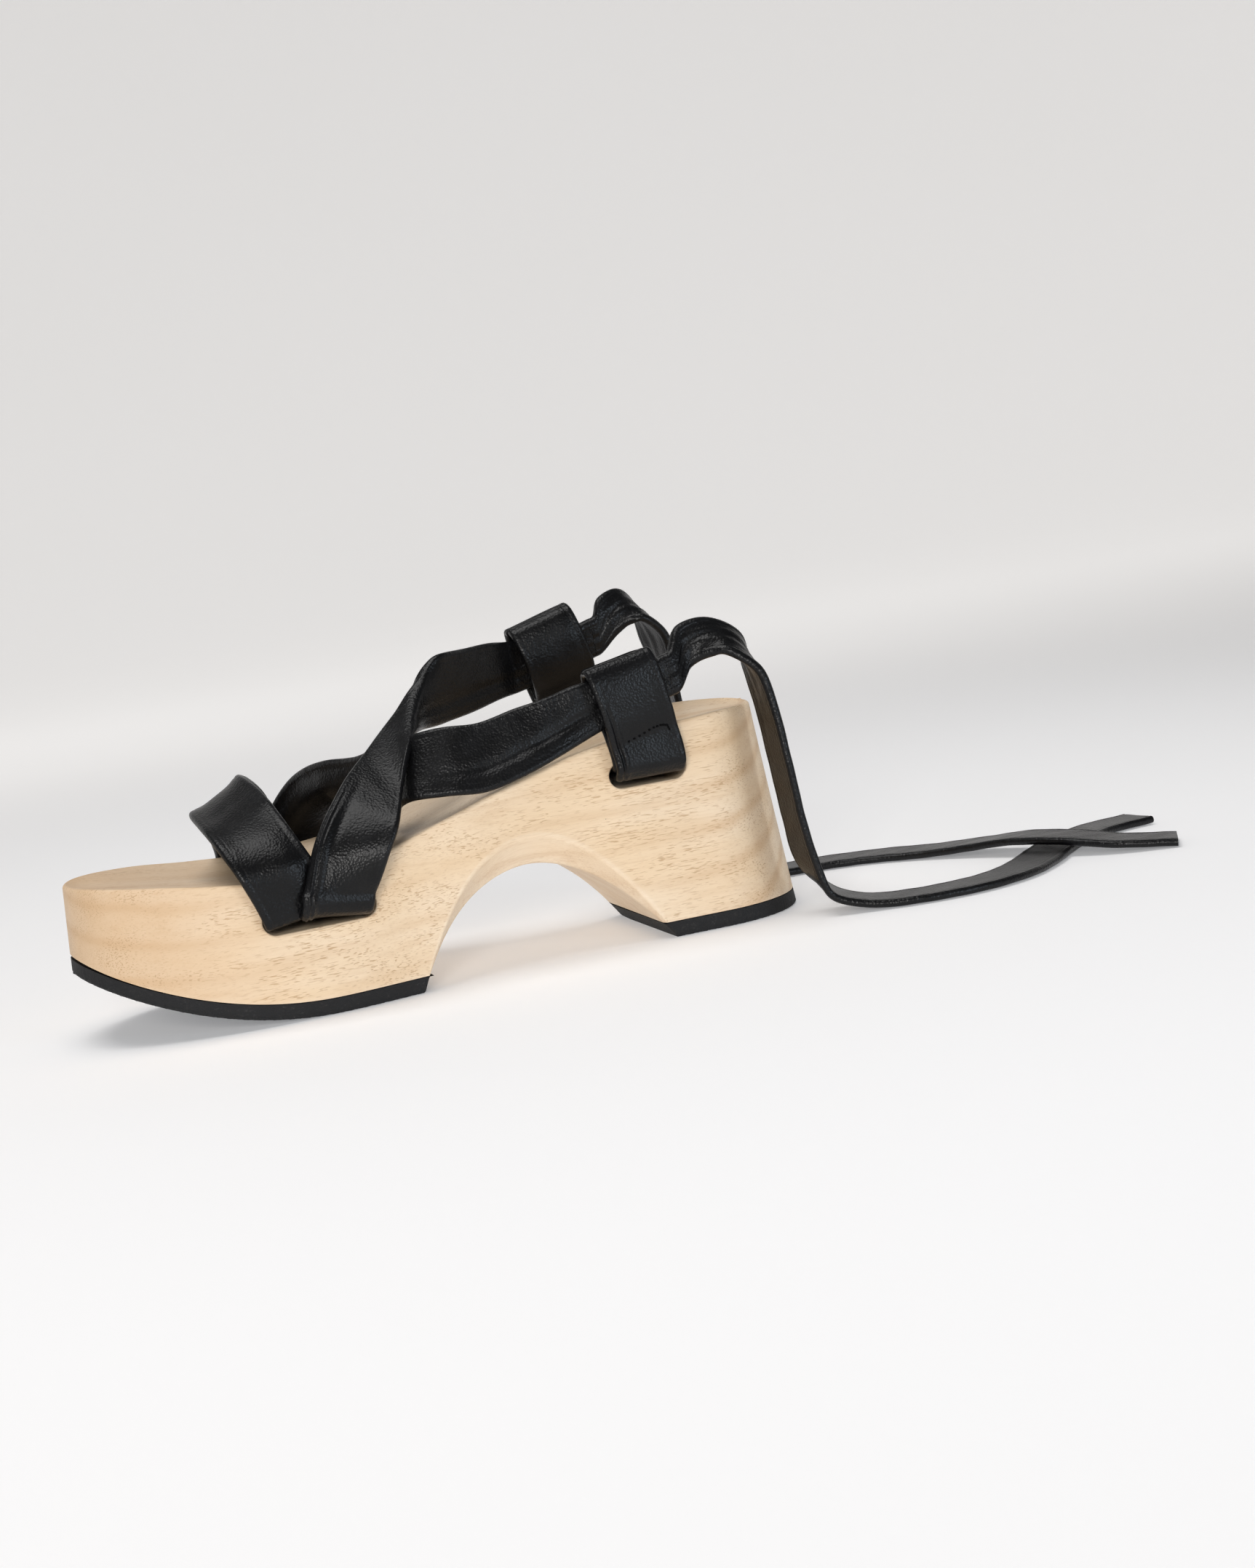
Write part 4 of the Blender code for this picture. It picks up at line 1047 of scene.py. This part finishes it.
MEDIAL_FOLDS = [
    # start, end, here, there, wide, high
    (0.060, 0.125, -1.00, -0.98, 0.34, 0.0010),
    (0.060, 0.118, -0.95, -0.93, 0.045, 0.0006),
    (0.064, 0.112, -0.79, -0.80, 0.050, 0.0005),
    (0.072, 0.125, -0.62, -0.55, 0.120, -0.0004),
    (0.150, 0.260, 0.55, 0.35, 0.20, -0.0005),
    (0.205, 0.262, 0.30, 0.15, 0.22, 0.0004),
]
LATERAL_FOLDS = [
    # start, end, here, there, wide, high
    (0.078, 0.150, -1.10, -1.05, 0.42, -0.0052),
    (0.178, 0.275, 0.50, 0.05, 0.20, -0.0009),
]
for arm_name, side, table, folds, ripple, creased in (
    ("medial_arm", MEDIAL, MEDIAL_ARM, MEDIAL_FOLDS, 0.00006, 0.15),
    ("lateral_arm", LATERAL, LATERAL_ARM, LATERAL_FOLDS, 0.00012, 1.0),
):
    rows = tunnel_rows(side, front_x, rear_x) + mouth_rows(side, rear_x, 1)
    rows += strap_rows(table) + keeper_pass_rows(-side)
    arm = make_strap(arm_name, curve_through(rows), folds, FINE_SEAM, ripple, creased)
    join_shoe(arm, "strap_leather", "straps")

# %% [markdown]
# ## The keepers
#
# A keeper is one strap through the heel slot. On each side it rises along the wall, folds over at the
# top, comes down outside and goes back into the slot, and a short row of stitches closes the loop. The
# inner and the outer layer are two runs of the same strap here.

# %% Keepers
# The two layers' levels in the slot, the outer one's bulge below the loop, a keeper's width in the
# tunnel and the height of its leather's ripples
INNER_LEVEL, OUTER_LEVEL = 0.79, 0.44
KEEPER_BULGE = 0.0010
KEEPER_TUNNEL_WIDTH = 0.97
KEEPER_RIPPLE = 0.00008
# The inner layer: its places inward of the wall, and how far inward its bend up begins
INNER_INWARD = (0.0070, 0.0015)
INNER_BEND = 0.0010
INNER_TURNS = np.radians((25, 60, 90))
# The outer layer: how far it is tucked in, its places past the bulge and up the stem, then past the
# bulge and above its level, then out of the wall and above its level
KEEPER_TUCK = 0.0001
OUTER_STEM = ((0.0, 0.66), (0.0001, 0.42))
OUTER_LIP = (-0.0008, 0.0018)
OUTER_MOUTH = ((0.0024, 0.0003), (-0.0010, 0.0), (-0.0070, 0.0))
KEEPER_INNER = [
    # out, up
    (0.00, 0.00),
    (-0.02, 0.10),
    (-0.26, 0.21),
    (-0.66, 0.34),
    (-0.90, 0.55),
    (-0.86, 0.80),
    (-0.64, 0.95),
    (-0.33, 1.00),
]
KEEPER_OUTER = [
    # out, up
    (-0.50, 0.985),
    (-0.14, 0.995),
    (0.14, 0.90),
    (0.28, 0.70),
    (0.30, 0.42),
    (0.24, 0.20),
    (0.07, 0.00),
]


def keeper_rows(side, inner):
    """One layer of a keeper, between the tunnel and the fold at its top."""
    x, foot_wall, slope = keeper_foot(side)
    rise, stem, _ = KEEPERS[side]
    table = KEEPER_INNER if inner else KEEPER_OUTER
    loop = [(out * KEEPER_ROOM, stem + up * (rise - stem)) for out, up in table]
    bend = LEATHER_GAP + KEEPER_THICKNESS / 2
    if inner:
        out = foot_wall + bend
        layer = INNER_LEVEL * SLOT_HEIGHT
        places = [(0.0, layer), *((foot_wall - inward, layer) for inward in INNER_INWARD)]
        for angle in INNER_TURNS:
            y = foot_wall - INNER_BEND + (bend + INNER_BEND) * math.sin(angle)
            places.append((y, SLOT_HEIGHT - (SLOT_HEIGHT - layer) * math.cos(angle)))
        places += [(out, 0.5 * (SLOT_HEIGHT + stem)), *((out + v, w) for v, w in loop)]
    else:
        out = foot_wall + bend + KEEPER_THICKNESS - KEEPER_TUCK
        layer = OUTER_LEVEL * SLOT_HEIGHT
        bulge = out + KEEPER_BULGE
        places = [(out + v, w) for v, w in loop]
        places += [(bulge + past, up * stem) for past, up in OUTER_STEM]
        places += [(bulge + OUTER_LIP[0], layer + OUTER_LIP[1])]
        places += [(foot_wall + beyond, layer + up) for beyond, up in OUTER_MOUTH]
        places += [(0.0, layer)]
    rows = []
    for y, w in places:
        shift, angle = keeper_lean(side, w)
        across = (math.cos(angle), side * slope, math.sin(angle))
        wide = KEEPER_WIDTH * (1 if y > foot_wall else KEEPER_TUNNEL_WIDTH)
        rows.append((x + shift, side * y, HEEL_SLOT[2] + w, *across, wide, KEEPER_THICKNESS))
    return rows


KEEPER_FOLDS = {
    True: [(0.030, 0.110, 0.95, 0.95, 0.20, 0.0003)],
    False: [
        # start, end, here, there, wide, high
        (0.014, 0.048, -0.97, -0.95, 0.045, 0.0005),
        (0.014, 0.048, -0.88, -0.86, 0.035, -0.0004),
        (0.014, 0.048, -0.78, -0.76, 0.070, 0.0005),
        (0.004, 0.045, 0.95, 0.95, 0.200, 0.0003),
    ],
}


def keeper_folds(side, inner):
    """The folds with their heights turned outward: the two layers' normals point opposite ways."""
    outward = side * (-1 if inner else 1)
    return [(*fold[:-1], outward * fold[-1]) for fold in KEEPER_FOLDS[inner]]


outer_layers = {}
for side, word in ((MEDIAL, "medial"), (LATERAL, "lateral")):
    for inner in (True, False):
        stations, folds = curve_through(keeper_rows(side, inner)), keeper_folds(side, inner)
        surface = (stations, folds, FINE_SEAM, KEEPER_RIPPLE)
        layer = make_strap(f"{word}_keeper_{'inner' if inner else 'outer'}", *surface)
        join_shoe(layer, "strap_leather", "heel_keeper")
        if not inner:
            outer_layers[side] = strap_grid(*surface)

# %% [markdown]
# ## Stitches
#
# The row that closes a keeper's loop is sewn through both layers with thick black thread. The thread
# pulls the soft leather in, so each stitch sits in its own small dent. One stitch is a short capsule
# with few faces, repeated along the row and laid on the strap's own outer face.

# %% Stitches
STITCH_LENGTH = 0.00085
STITCH_RADIUS = 0.00034
STITCH_PROUD = 0.35
# A step across the strap that gives the way out of its face, and a point inside the shoe
ACROSS_STEP = 0.05
FOOT_MIDDLE = (0.19, 0, 0.07)


def capsule(length, radius, rings=5, sides=8):
    """A capsule along x: x = length * t / 2, and the radius times sqrt(1 - t^4) for t from -1 to 1."""
    t = np.sin(np.linspace(-np.pi / 2, np.pi / 2, rings + 2))
    angle = np.linspace(0, 2 * np.pi, sides, endpoint=False)
    round_off = radius * np.sqrt(np.maximum(0, 1 - t**4))
    x = np.broadcast_to((t * length / 2)[:, None], (len(t), sides))
    return np.stack([x, round_off[:, None] * np.cos(angle), round_off[:, None] * np.sin(angle)], -1)


def stitch_row(name, side, path, count):
    """Stitches on a keeper's outer face, along a path of places along the strap, in metres, and
    across it, -1 to 1."""
    points, run = outer_layers[side]
    turned = FACE_STEPS + EDGE_STEPS
    front, back = points[:, : FACE_STEPS + 1], points[:, turned : turned + FACE_STEPS + 1][:, ::-1]
    face = front if side == LATERAL else back
    path = np.array(path)
    t = (np.arange(count) + 0.5) / count
    keys = np.linspace(0, 1, len(path))
    down, over = np.interp(t, keys, path[:, 0]), np.interp(t, keys, path[:, 1])

    def on_face(down, over):
        row = np.interp(down, run, np.arange(len(run)))
        column = np.interp(over, strap_section()[0][: FACE_STEPS + 1], np.arange(FACE_STEPS + 1))
        i, j = row.astype(int), column.astype(int)
        a, b = (row - i)[:, None], (column - j)[:, None]
        near = face[i, j] * (1 - b) + face[i, j + 1] * b
        return near * (1 - a) + (face[i + 1, j] * (1 - b) + face[i + 1, j + 1] * b) * a

    here = on_face(down, over)
    ahead = np.gradient(here, axis=0)
    ahead = ahead / np.linalg.norm(ahead, axis=1)[:, None]
    side_step = on_face(down, over + ACROSS_STEP) - here
    out = np.cross(ahead, side_step)
    out = out / np.linalg.norm(out, axis=1)[:, None]
    out = out * np.sign(np.sum(out * (here - FOOT_MIDDLE), axis=1))[:, None]
    third = np.cross(out, ahead)
    shape = capsule(STITCH_LENGTH, STITCH_RADIUS)
    place = here + out * STITCH_RADIUS * STITCH_PROUD
    all_points = place[:, None, None] + shape[None, ..., :1] * ahead[:, None, None]
    all_points = all_points + shape[None, ..., 1:2] * third[:, None, None]
    all_points = all_points + shape[None, ..., 2:] * out[:, None, None]
    one = grid_faces(*shape.shape[:2], True)
    size = shape.shape[0] * shape.shape[1]
    faces = (one[None] + size * np.arange(count)[:, None, None]).reshape(-1, 4)
    return mesh_piece(name, all_points, faces, sharp=60.0)


MEDIAL_STITCHES = [
    # run, across
    (0.0294, -0.62),
    (0.0287, -0.14),
    (0.0277, 0.30),
    (0.0279, 0.60),
    (0.0287, 0.76),
    (0.0308, 0.80),
]
LATERAL_STITCHES = [
    # run, across
    (0.0345, -0.70),
    (0.0338, 0.0),
    (0.0345, 0.70),
]
stitches = [
    stitch_row("medial_stitches", MEDIAL, MEDIAL_STITCHES, 13),
    stitch_row("lateral_stitches", LATERAL, LATERAL_STITCHES, 10),
]
for row in stitches:
    join_shoe(row, "strap_leather")

# %% [markdown]
# ## Finishes as arithmetic
#
# A finish is a small sum: so much of this colour where that pattern is high. Blender writes such sums
# as Math nodes, one for each sign, which is hard to read. The small class below lets a number socket be
# added, multiplied and compared in Python, and each sign adds its node. Colours are mixed with a Mix
# node, because a Math node would turn them grey.

# %% Shader helper


class Number:
    """A number socket on which + - * work, also with a plain number on the left."""

    def __init__(self, finish, socket):
        self.finish, self.socket = finish, socket

    def math(self, operation, *values):
        """One Math node with this operation on the values."""
        sockets = dict(enumerate(values))
        node = self.finish.node("ShaderNodeMath", {"operation": operation}, sockets)
        return Number(self.finish, node.outputs[0])

    def __add__(self, other):
        return self.math("ADD", self, other)

    def __mul__(self, other):
        return self.math("MULTIPLY", self, other)

    def __sub__(self, other):
        return self.math("SUBTRACT", self, other)

    def __rsub__(self, other):
        return self.math("SUBTRACT", other, self)

    __radd__ = __add__
    __rmul__ = __mul__

    def power(self, exponent):
        return self.math("POWER", self, exponent)

    def least(self, other):
        return self.math("MINIMUM", self, other)

    def step(self, low, high):
        """0 below low, 1 above high and a gentle rise between them."""
        settings = {"interpolation_type": "SMOOTHSTEP"}
        sockets = {"Value": self, "From Min": low, "From Max": high}
        node = self.finish.node("ShaderNodeMapRange", settings, sockets)
        return Number(self.finish, node.outputs[0])


class Finish:
    """A material with a Principled shader, and short ways to add the nodes that feed it."""

    def __init__(self, name, roughness, specular=0.5):
        self.material = bpy.data.materials.new(name)
        self.material.use_nodes = True
        self.tree = self.material.node_tree
        self.shader = self.tree.nodes["Principled BSDF"]
        self.shader.inputs["Roughness"].default_value = roughness
        self.shader.inputs["Specular IOR Level"].default_value = specular
        self.place = self.node("ShaderNodeTexCoord").outputs["Object"]

    def feed(self, socket, value):
        """Gives a socket a value, or a link where the value is a socket itself."""
        value = value.socket if isinstance(value, Number) else value
        if isinstance(value, bpy.types.NodeSocket):
            self.tree.links.new(value, socket)
        else:
            socket.default_value = value

    def give(self, name, value):
        """Feeds one of the shader's own sockets."""
        self.feed(self.shader.inputs[name], value)

    def node(self, kind, settings=None, sockets=None):
        """A node of this type: its settings come first, then its sockets."""
        node = self.tree.nodes.new(kind)
        for key, value in (settings or {}).items():
            setattr(node, key, value)
        for key, value in (sockets or {}).items():
            self.feed(node.inputs[key], value)
        return node

    def moved(self, scale=(1, 1, 1), shift=(0, 0, 0), turn=(0, 0, 0)):
        """Object coordinates, shifted, turned and scaled."""
        sockets = {"Vector": self.place, "Location": shift, "Rotation": turn, "Scale": scale}
        return self.node("ShaderNodeMapping", None, sockets).outputs[0]

    def noise(self, where, scale=1.0, detail=3.0, rough=0.5, distortion=0.0):
        """A cloudy pattern between 0 and 1, over Object coordinates scaled by a triple, or over a
        vector socket."""
        vector = self.moved(where) if isinstance(where, tuple) else where
        sockets = {"Vector": vector, "Scale": scale, "Detail": detail, "Roughness": rough}
        sockets["Distortion"] = distortion
        node = self.node("ShaderNodeTexNoise", {"noise_dimensions": "3D"}, sockets)
        return Number(self, node.outputs["Fac"])

    def cells(self, scale):
        """The distance to the nearest of many seeds, which gives pebbled cells."""
        sockets = {"Vector": self.moved(scale), "Scale": 1.0}
        node = self.node("ShaderNodeTexVoronoi", {"feature": "F1"}, sockets)
        return Number(self, node.outputs["Distance"])

    def attribute(self, name):
        """A number kept with the piece's points."""
        node = self.node("ShaderNodeAttribute", {"attribute_name": name})
        return Number(self, node.outputs["Fac"])

    def axis(self, index):
        """One of the three Object coordinates."""
        node = self.node("ShaderNodeSeparateXYZ", None, {"Vector": self.place})
        return Number(self, node.outputs[index])

    def mix(self, share, first, second):
        """The first colour where share is 0 and the second where it is 1."""
        node = self.node("ShaderNodeMix", {"data_type": "RGBA", "clamp_factor": True}, {0: share})
        self.feed(node.inputs[6], first)
        self.feed(node.inputs[7], second)
        return node.outputs[2]

    def bump(self, height, distance, strength):
        """A relief of this distance where height goes from 0 to 1, on the shader's Normal."""
        sockets = {"Strength": strength, "Distance": distance, "Height": height}
        node = self.node("ShaderNodeBump", None, sockets)
        self.give("Normal", node.outputs[0])

    def use_on(self, *pieces):
        for piece in pieces:
            piece.data.materials.clear()
            piece.data.materials.append(self.material)


# %% [markdown]
# ## Pale wood
#
# The wood has pale, slow growth rings, fine fibres along the shoe and many short brown flecks, which
# show as dashes on the sides and as dots on the ends. A picture of wood would have to be wrapped round
# the block. Instead the pattern fills the space of the block, stretched along the shoe, as real wood
# does, so that sides, toe and arch each show the right cut through it.

# %% Wood finish
wood = Finish("pale_wood", 0.46, 0.30)
ring_place = wood.moved(shift=(0.0, -0.022, 0.055), turn=(0.0, math.radians(7), math.radians(-6)))
ring_waves = wood.node(
    "ShaderNodeTexWave",
    {"wave_type": "RINGS", "rings_direction": "X", "wave_profile": "SIN"},
    {"Vector": ring_place, "Scale": 30.0, "Distortion": 1.6, "Detail": 2.0, "Detail Scale": 0.8},
)
rings = Number(wood, ring_waves.outputs["Fac"]).power(4.0)
along_shoe = wood.axis(0)
ends = (along_shoe * along_shoe).step(0.0036, 0.0120)
sanded_painted_light_part = wood.attribute("sanded_painted_light")
patches = wood.noise((14, 60, 60), detail=2.0)
streaks = wood.noise((9, 330, 330), detail=3.0, rough=0.6)
fibres = wood.noise((60, 1700, 1700), detail=3.0, rough=0.65)
dashes = wood.noise((310, 2700, 2700), detail=1.0, rough=0.4)
long_dashes = wood.noise(wood.moved((190, 2600, 2600), shift=(0.5, 0.2, 0.1)), detail=1.0, rough=0.4)
crowds = wood.noise(wood.moved((40, 110, 110), shift=(0.3, 0.1, 0.2)), detail=2.0)
flecks = dashes.step(0.575, 0.68) * (0.30 + 0.70 * crowds.step(0.38, 0.60))
flecks = flecks + long_dashes.step(0.64, 0.72) * crowds.step(0.45, 0.62) * 0.9
flecks = flecks.least(1.0) * (1 - 0.65 * sanded_painted_light_part)
specks = wood.cells((260, 260, 260))
dusty = wood.noise((35, 35, 35), detail=1.0)
dirt = (1 - specks.step(0.030, 0.055)) * dusty.step(0.55, 0.68)
PALE = (0.830, 0.635, 0.425, 1)
HONEY = (0.640, 0.420, 0.235, 1)
LIGHT = (0.890, 0.735, 0.555, 1)
FLECK = (0.490, 0.300, 0.155, 1)
DIRT = (0.110, 0.085, 0.060, 1)
# The sanded chamfers and the arch's underside are painted lighter here: painted light from below.
tone = wood.mix(patches.step(0.30, 0.72) * 0.8 + sanded_painted_light_part * 0.5, PALE, LIGHT)
tone = wood.mix(rings * (0.14 + 0.42 * ends), tone, HONEY)
tone = wood.mix(ends * 0.10 + (0 - along_shoe).step(0.045, 0.105) * 0.48, tone, HONEY)
tone = wood.mix(streaks.step(0.48, 0.72) * 0.26, tone, HONEY)
tone = wood.mix(fibres.step(0.42, 0.80) * 0.28, tone, HONEY)
tone = wood.mix(flecks * 0.68, tone, FLECK)
tone = wood.mix(dirt * 0.6, tone, DIRT)
wood.give("Base Color", tone)
wood.give("Roughness", 0.42 + 0.14 * fibres + 0.10 * flecks)
wood.bump(fibres * 0.5 - flecks * 0.6, 0.00010, 0.45)
wood.use_on(wood_body)
print("Wood finish nodes:", len(wood.tree.nodes))

# %% [markdown]
# ## Black rubber
#
# Sheet rubber is dull and its knife cut is crumbly. Dust lies in its pits, so the grey follows the same
# noise that makes the relief.

# %% Rubber finish
rubber = Finish("black_rubber", 0.7, 0.35)
crumbs = rubber.noise((900, 900, 1300), detail=4.0, rough=0.7)
lumps = rubber.noise((220, 220, 300), detail=2.0)
dust = crumbs.step(0.50, 0.80) * lumps.step(0.35, 0.70)
RUBBER = (0.013, 0.013, 0.014, 1)
DUST = (0.070, 0.068, 0.066, 1)
rubber.give("Base Color", rubber.mix(dust * 0.7, RUBBER, DUST))
rubber.give("Roughness", 0.62 + 0.25 * crumbs)
rubber.bump(crumbs + lumps * 0.6, 0.0005, 0.8)
rubber.use_on(forefoot_sole, heel_lift)

# %% [markdown]
# ## Soft black leather
#
# Nappa leather has a fine pebbled grain, less than a millimetre across, and creases where it bends. It
# is nearly black, so that what is seen of it is its gloss: the grain breaks a highlight into sparkles.
# The pebbles come from the distance to scattered seeds, and the creases from a noise that is stretched
# across the strap with the help of the attributes that the surface kept.

# %% Leather finish
leather = Finish("soft_black_leather", 0.34, 0.24)
run = leather.attribute("strap_run")
across = leather.attribute("strap_across")
creased = leather.attribute("strap_creased")
strap_place = {0: run * 1100, 1: across * 3.4, 2: 0.0}
strap_place = leather.node("ShaderNodeCombineXYZ", None, strap_place).outputs[0]
pebbles = leather.cells((1250, 1250, 1250))
grain = leather.noise((900, 900, 900), detail=3.0, rough=0.6)
creases = leather.noise(strap_place, 0.35, detail=3.0, rough=0.6, distortion=0.8)
wrinkled = leather.noise((55, 55, 55), detail=1.0).step(0.42, 0.66)
worn = leather.noise((120, 120, 120), detail=3.0)
rims = (across * across).step(0.70, 0.98)
LEATHER = (0.0030, 0.0030, 0.0033, 1)
WORN = (0.0070, 0.0072, 0.0082, 1)
rubbed = worn.step(0.4, 0.8) * 0.6 + rims * 0.2
leather.give("Base Color", leather.mix(rubbed, LEATHER, WORN))
leather.give("Roughness", 0.25 + 0.10 * worn + 0.05 * grain)
leather.bump(pebbles * 0.5 + grain * 0.5 + creases * wrinkled * creased * 2.6, 0.00026, 0.75)
straps = [o for o in bpy.data.objects if o.type == "MESH" and "strap_run" in o.data.attributes]
leather.use_on(*straps)

thread = Finish("black_thread", 0.85, 0.1)
strands = thread.noise((2600, 2600, 2600), detail=1.0)
THREAD = (0.0015, 0.0015, 0.0016, 1)
STRAND = (0.004, 0.004, 0.0042, 1)
thread.give("Base Color", thread.mix(strands, THREAD, STRAND))
thread.bump(strands, 0.0001, 0.5)
thread.use_on(*stitches)
print("Leather pieces:", [o.name for o in straps])

# %% [markdown]
# ## The studio
#
# The photograph has a plain pale ground and broad daylight. A floor that rises gently all round, far
# from the shoe, has no horizon from any side, and it glows faintly behind and around the shoe, as the
# lit ground does. One broad light stands behind the camera at the left, a small bluish one low at the
# right draws the soft highlights on the leather, and one above fills the seat.

# %% Floor and lights
FLAT_RADIUS = 2.2
RIM_RADIUS = 5.0
RIM_HEIGHT = 3.0
GROUND_DARK, GROUND_LIGHT = (0.80, 0.79, 0.78, 1), (0.84, 0.83, 0.83, 1)
GLOW_FRONT, GLOW_BEHIND = (0.06, 0.06, 0.061, 1), (0.47, 0.46, 0.45, 1)
GLOW_NEAR = (0.22, 0.223, 0.23, 1)
SHOE_MIDDLE = Vector((0.03, 0.0, 0.05))
LIGHTS = [
    # name, place, size, watts, tint
    ("key", (-0.70, -1.75, 0.62), 0.5, 17, (1.0, 0.985, 0.96)),
    ("low_fill", (0.70, -1.15, 0.26), 0.30, 3.2, (0.76, 0.88, 1.0)),
    ("top", (-0.25, 0.0, 1.6), 1.0, 14, (1.0, 0.99, 0.98)),
]
SKY, SKY_STRENGTH = (0.95, 0.965, 1.0, 1), 0.10


def studio_floor():
    """A bowl turned about the upright axis: its height past the flat is the rim's height times
    ((r - flat) / (rim - flat))^2."""
    radius = np.concatenate([[0.0, 0.5, 1.2], np.linspace(FLAT_RADIUS, RIM_RADIUS, 24)])
    angle = np.linspace(0, 2 * np.pi, 96, endpoint=False)
    height = RIM_HEIGHT * (np.maximum(0, radius - FLAT_RADIUS) / (RIM_RADIUS - FLAT_RADIUS)) ** 2
    x = radius[:, None] * np.cos(angle)
    y = radius[:, None] * np.sin(angle)
    z = np.broadcast_to(height[:, None], x.shape)
    mesh = bpy.data.meshes.new("studio_floor")
    points = np.stack([x, y, z], -1).reshape(-1, 3)
    mesh.from_pydata(points.tolist(), [], grid_faces(*x.shape, True).tolist())
    mesh.flip_normals()
    mesh.shade_smooth()
    return add_object("studio_floor", mesh)


def soft_light(name, place, size, power, tint):
    """A square area light at a place, turned towards the shoe."""
    light = bpy.data.lights.new(name, "AREA")
    light.size = size
    light.energy = power
    light.color = tint
    lamp = add_object(name, light)
    lamp.location = place
    lamp.rotation_euler = (SHOE_MIDDLE - Vector(place)).to_track_quat("-Z", "Y").to_euler()


floor = studio_floor()
floor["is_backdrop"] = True
ground = Finish("pale_ground", 0.8, 0.2)
clouds = ground.noise((1.2, 1.2, 1.2), detail=2.0)
ground.give("Base Color", ground.mix(clouds, GROUND_DARK, GROUND_LIGHT))
behind = ground.axis(1).step(0.05, 1.5)
distance = ground.node("ShaderNodeVectorMath", {"operation": "LENGTH"}, {0: ground.place})
near = 1 - Number(ground, distance.outputs["Value"]).step(0.30, 1.10)
glow = ground.mix(near, ground.mix(behind, GLOW_FRONT, GLOW_BEHIND), GLOW_NEAR)
ground.give("Emission Color", glow)
ground.shader.inputs["Emission Strength"].default_value = 1.0
ground.use_on(floor)

for light in LIGHTS:
    soft_light(*light)
world = bpy.data.worlds.new("daylight")
world.use_nodes = True
sky = world.node_tree.nodes["Background"]
sky.inputs["Color"].default_value = SKY
sky.inputs["Strength"].default_value = SKY_STRENGTH
bpy.context.scene.world = world
bpy.context.scene.view_settings.view_transform = "Standard"

# %% [markdown]
# ## Sizes at the end
#
# How far the dressed shoe reaches past the imported model's box at its high corner is printed. The
# dressed shoe has to stay inside the imported model's box.

# %% Compare the boxes and finish
new_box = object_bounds()
grown = [round((n - c) * 1000, 2) for n, c in zip(new_box[1], cad_box[1])]
print("Grown by", grown, "mm at the high corner")
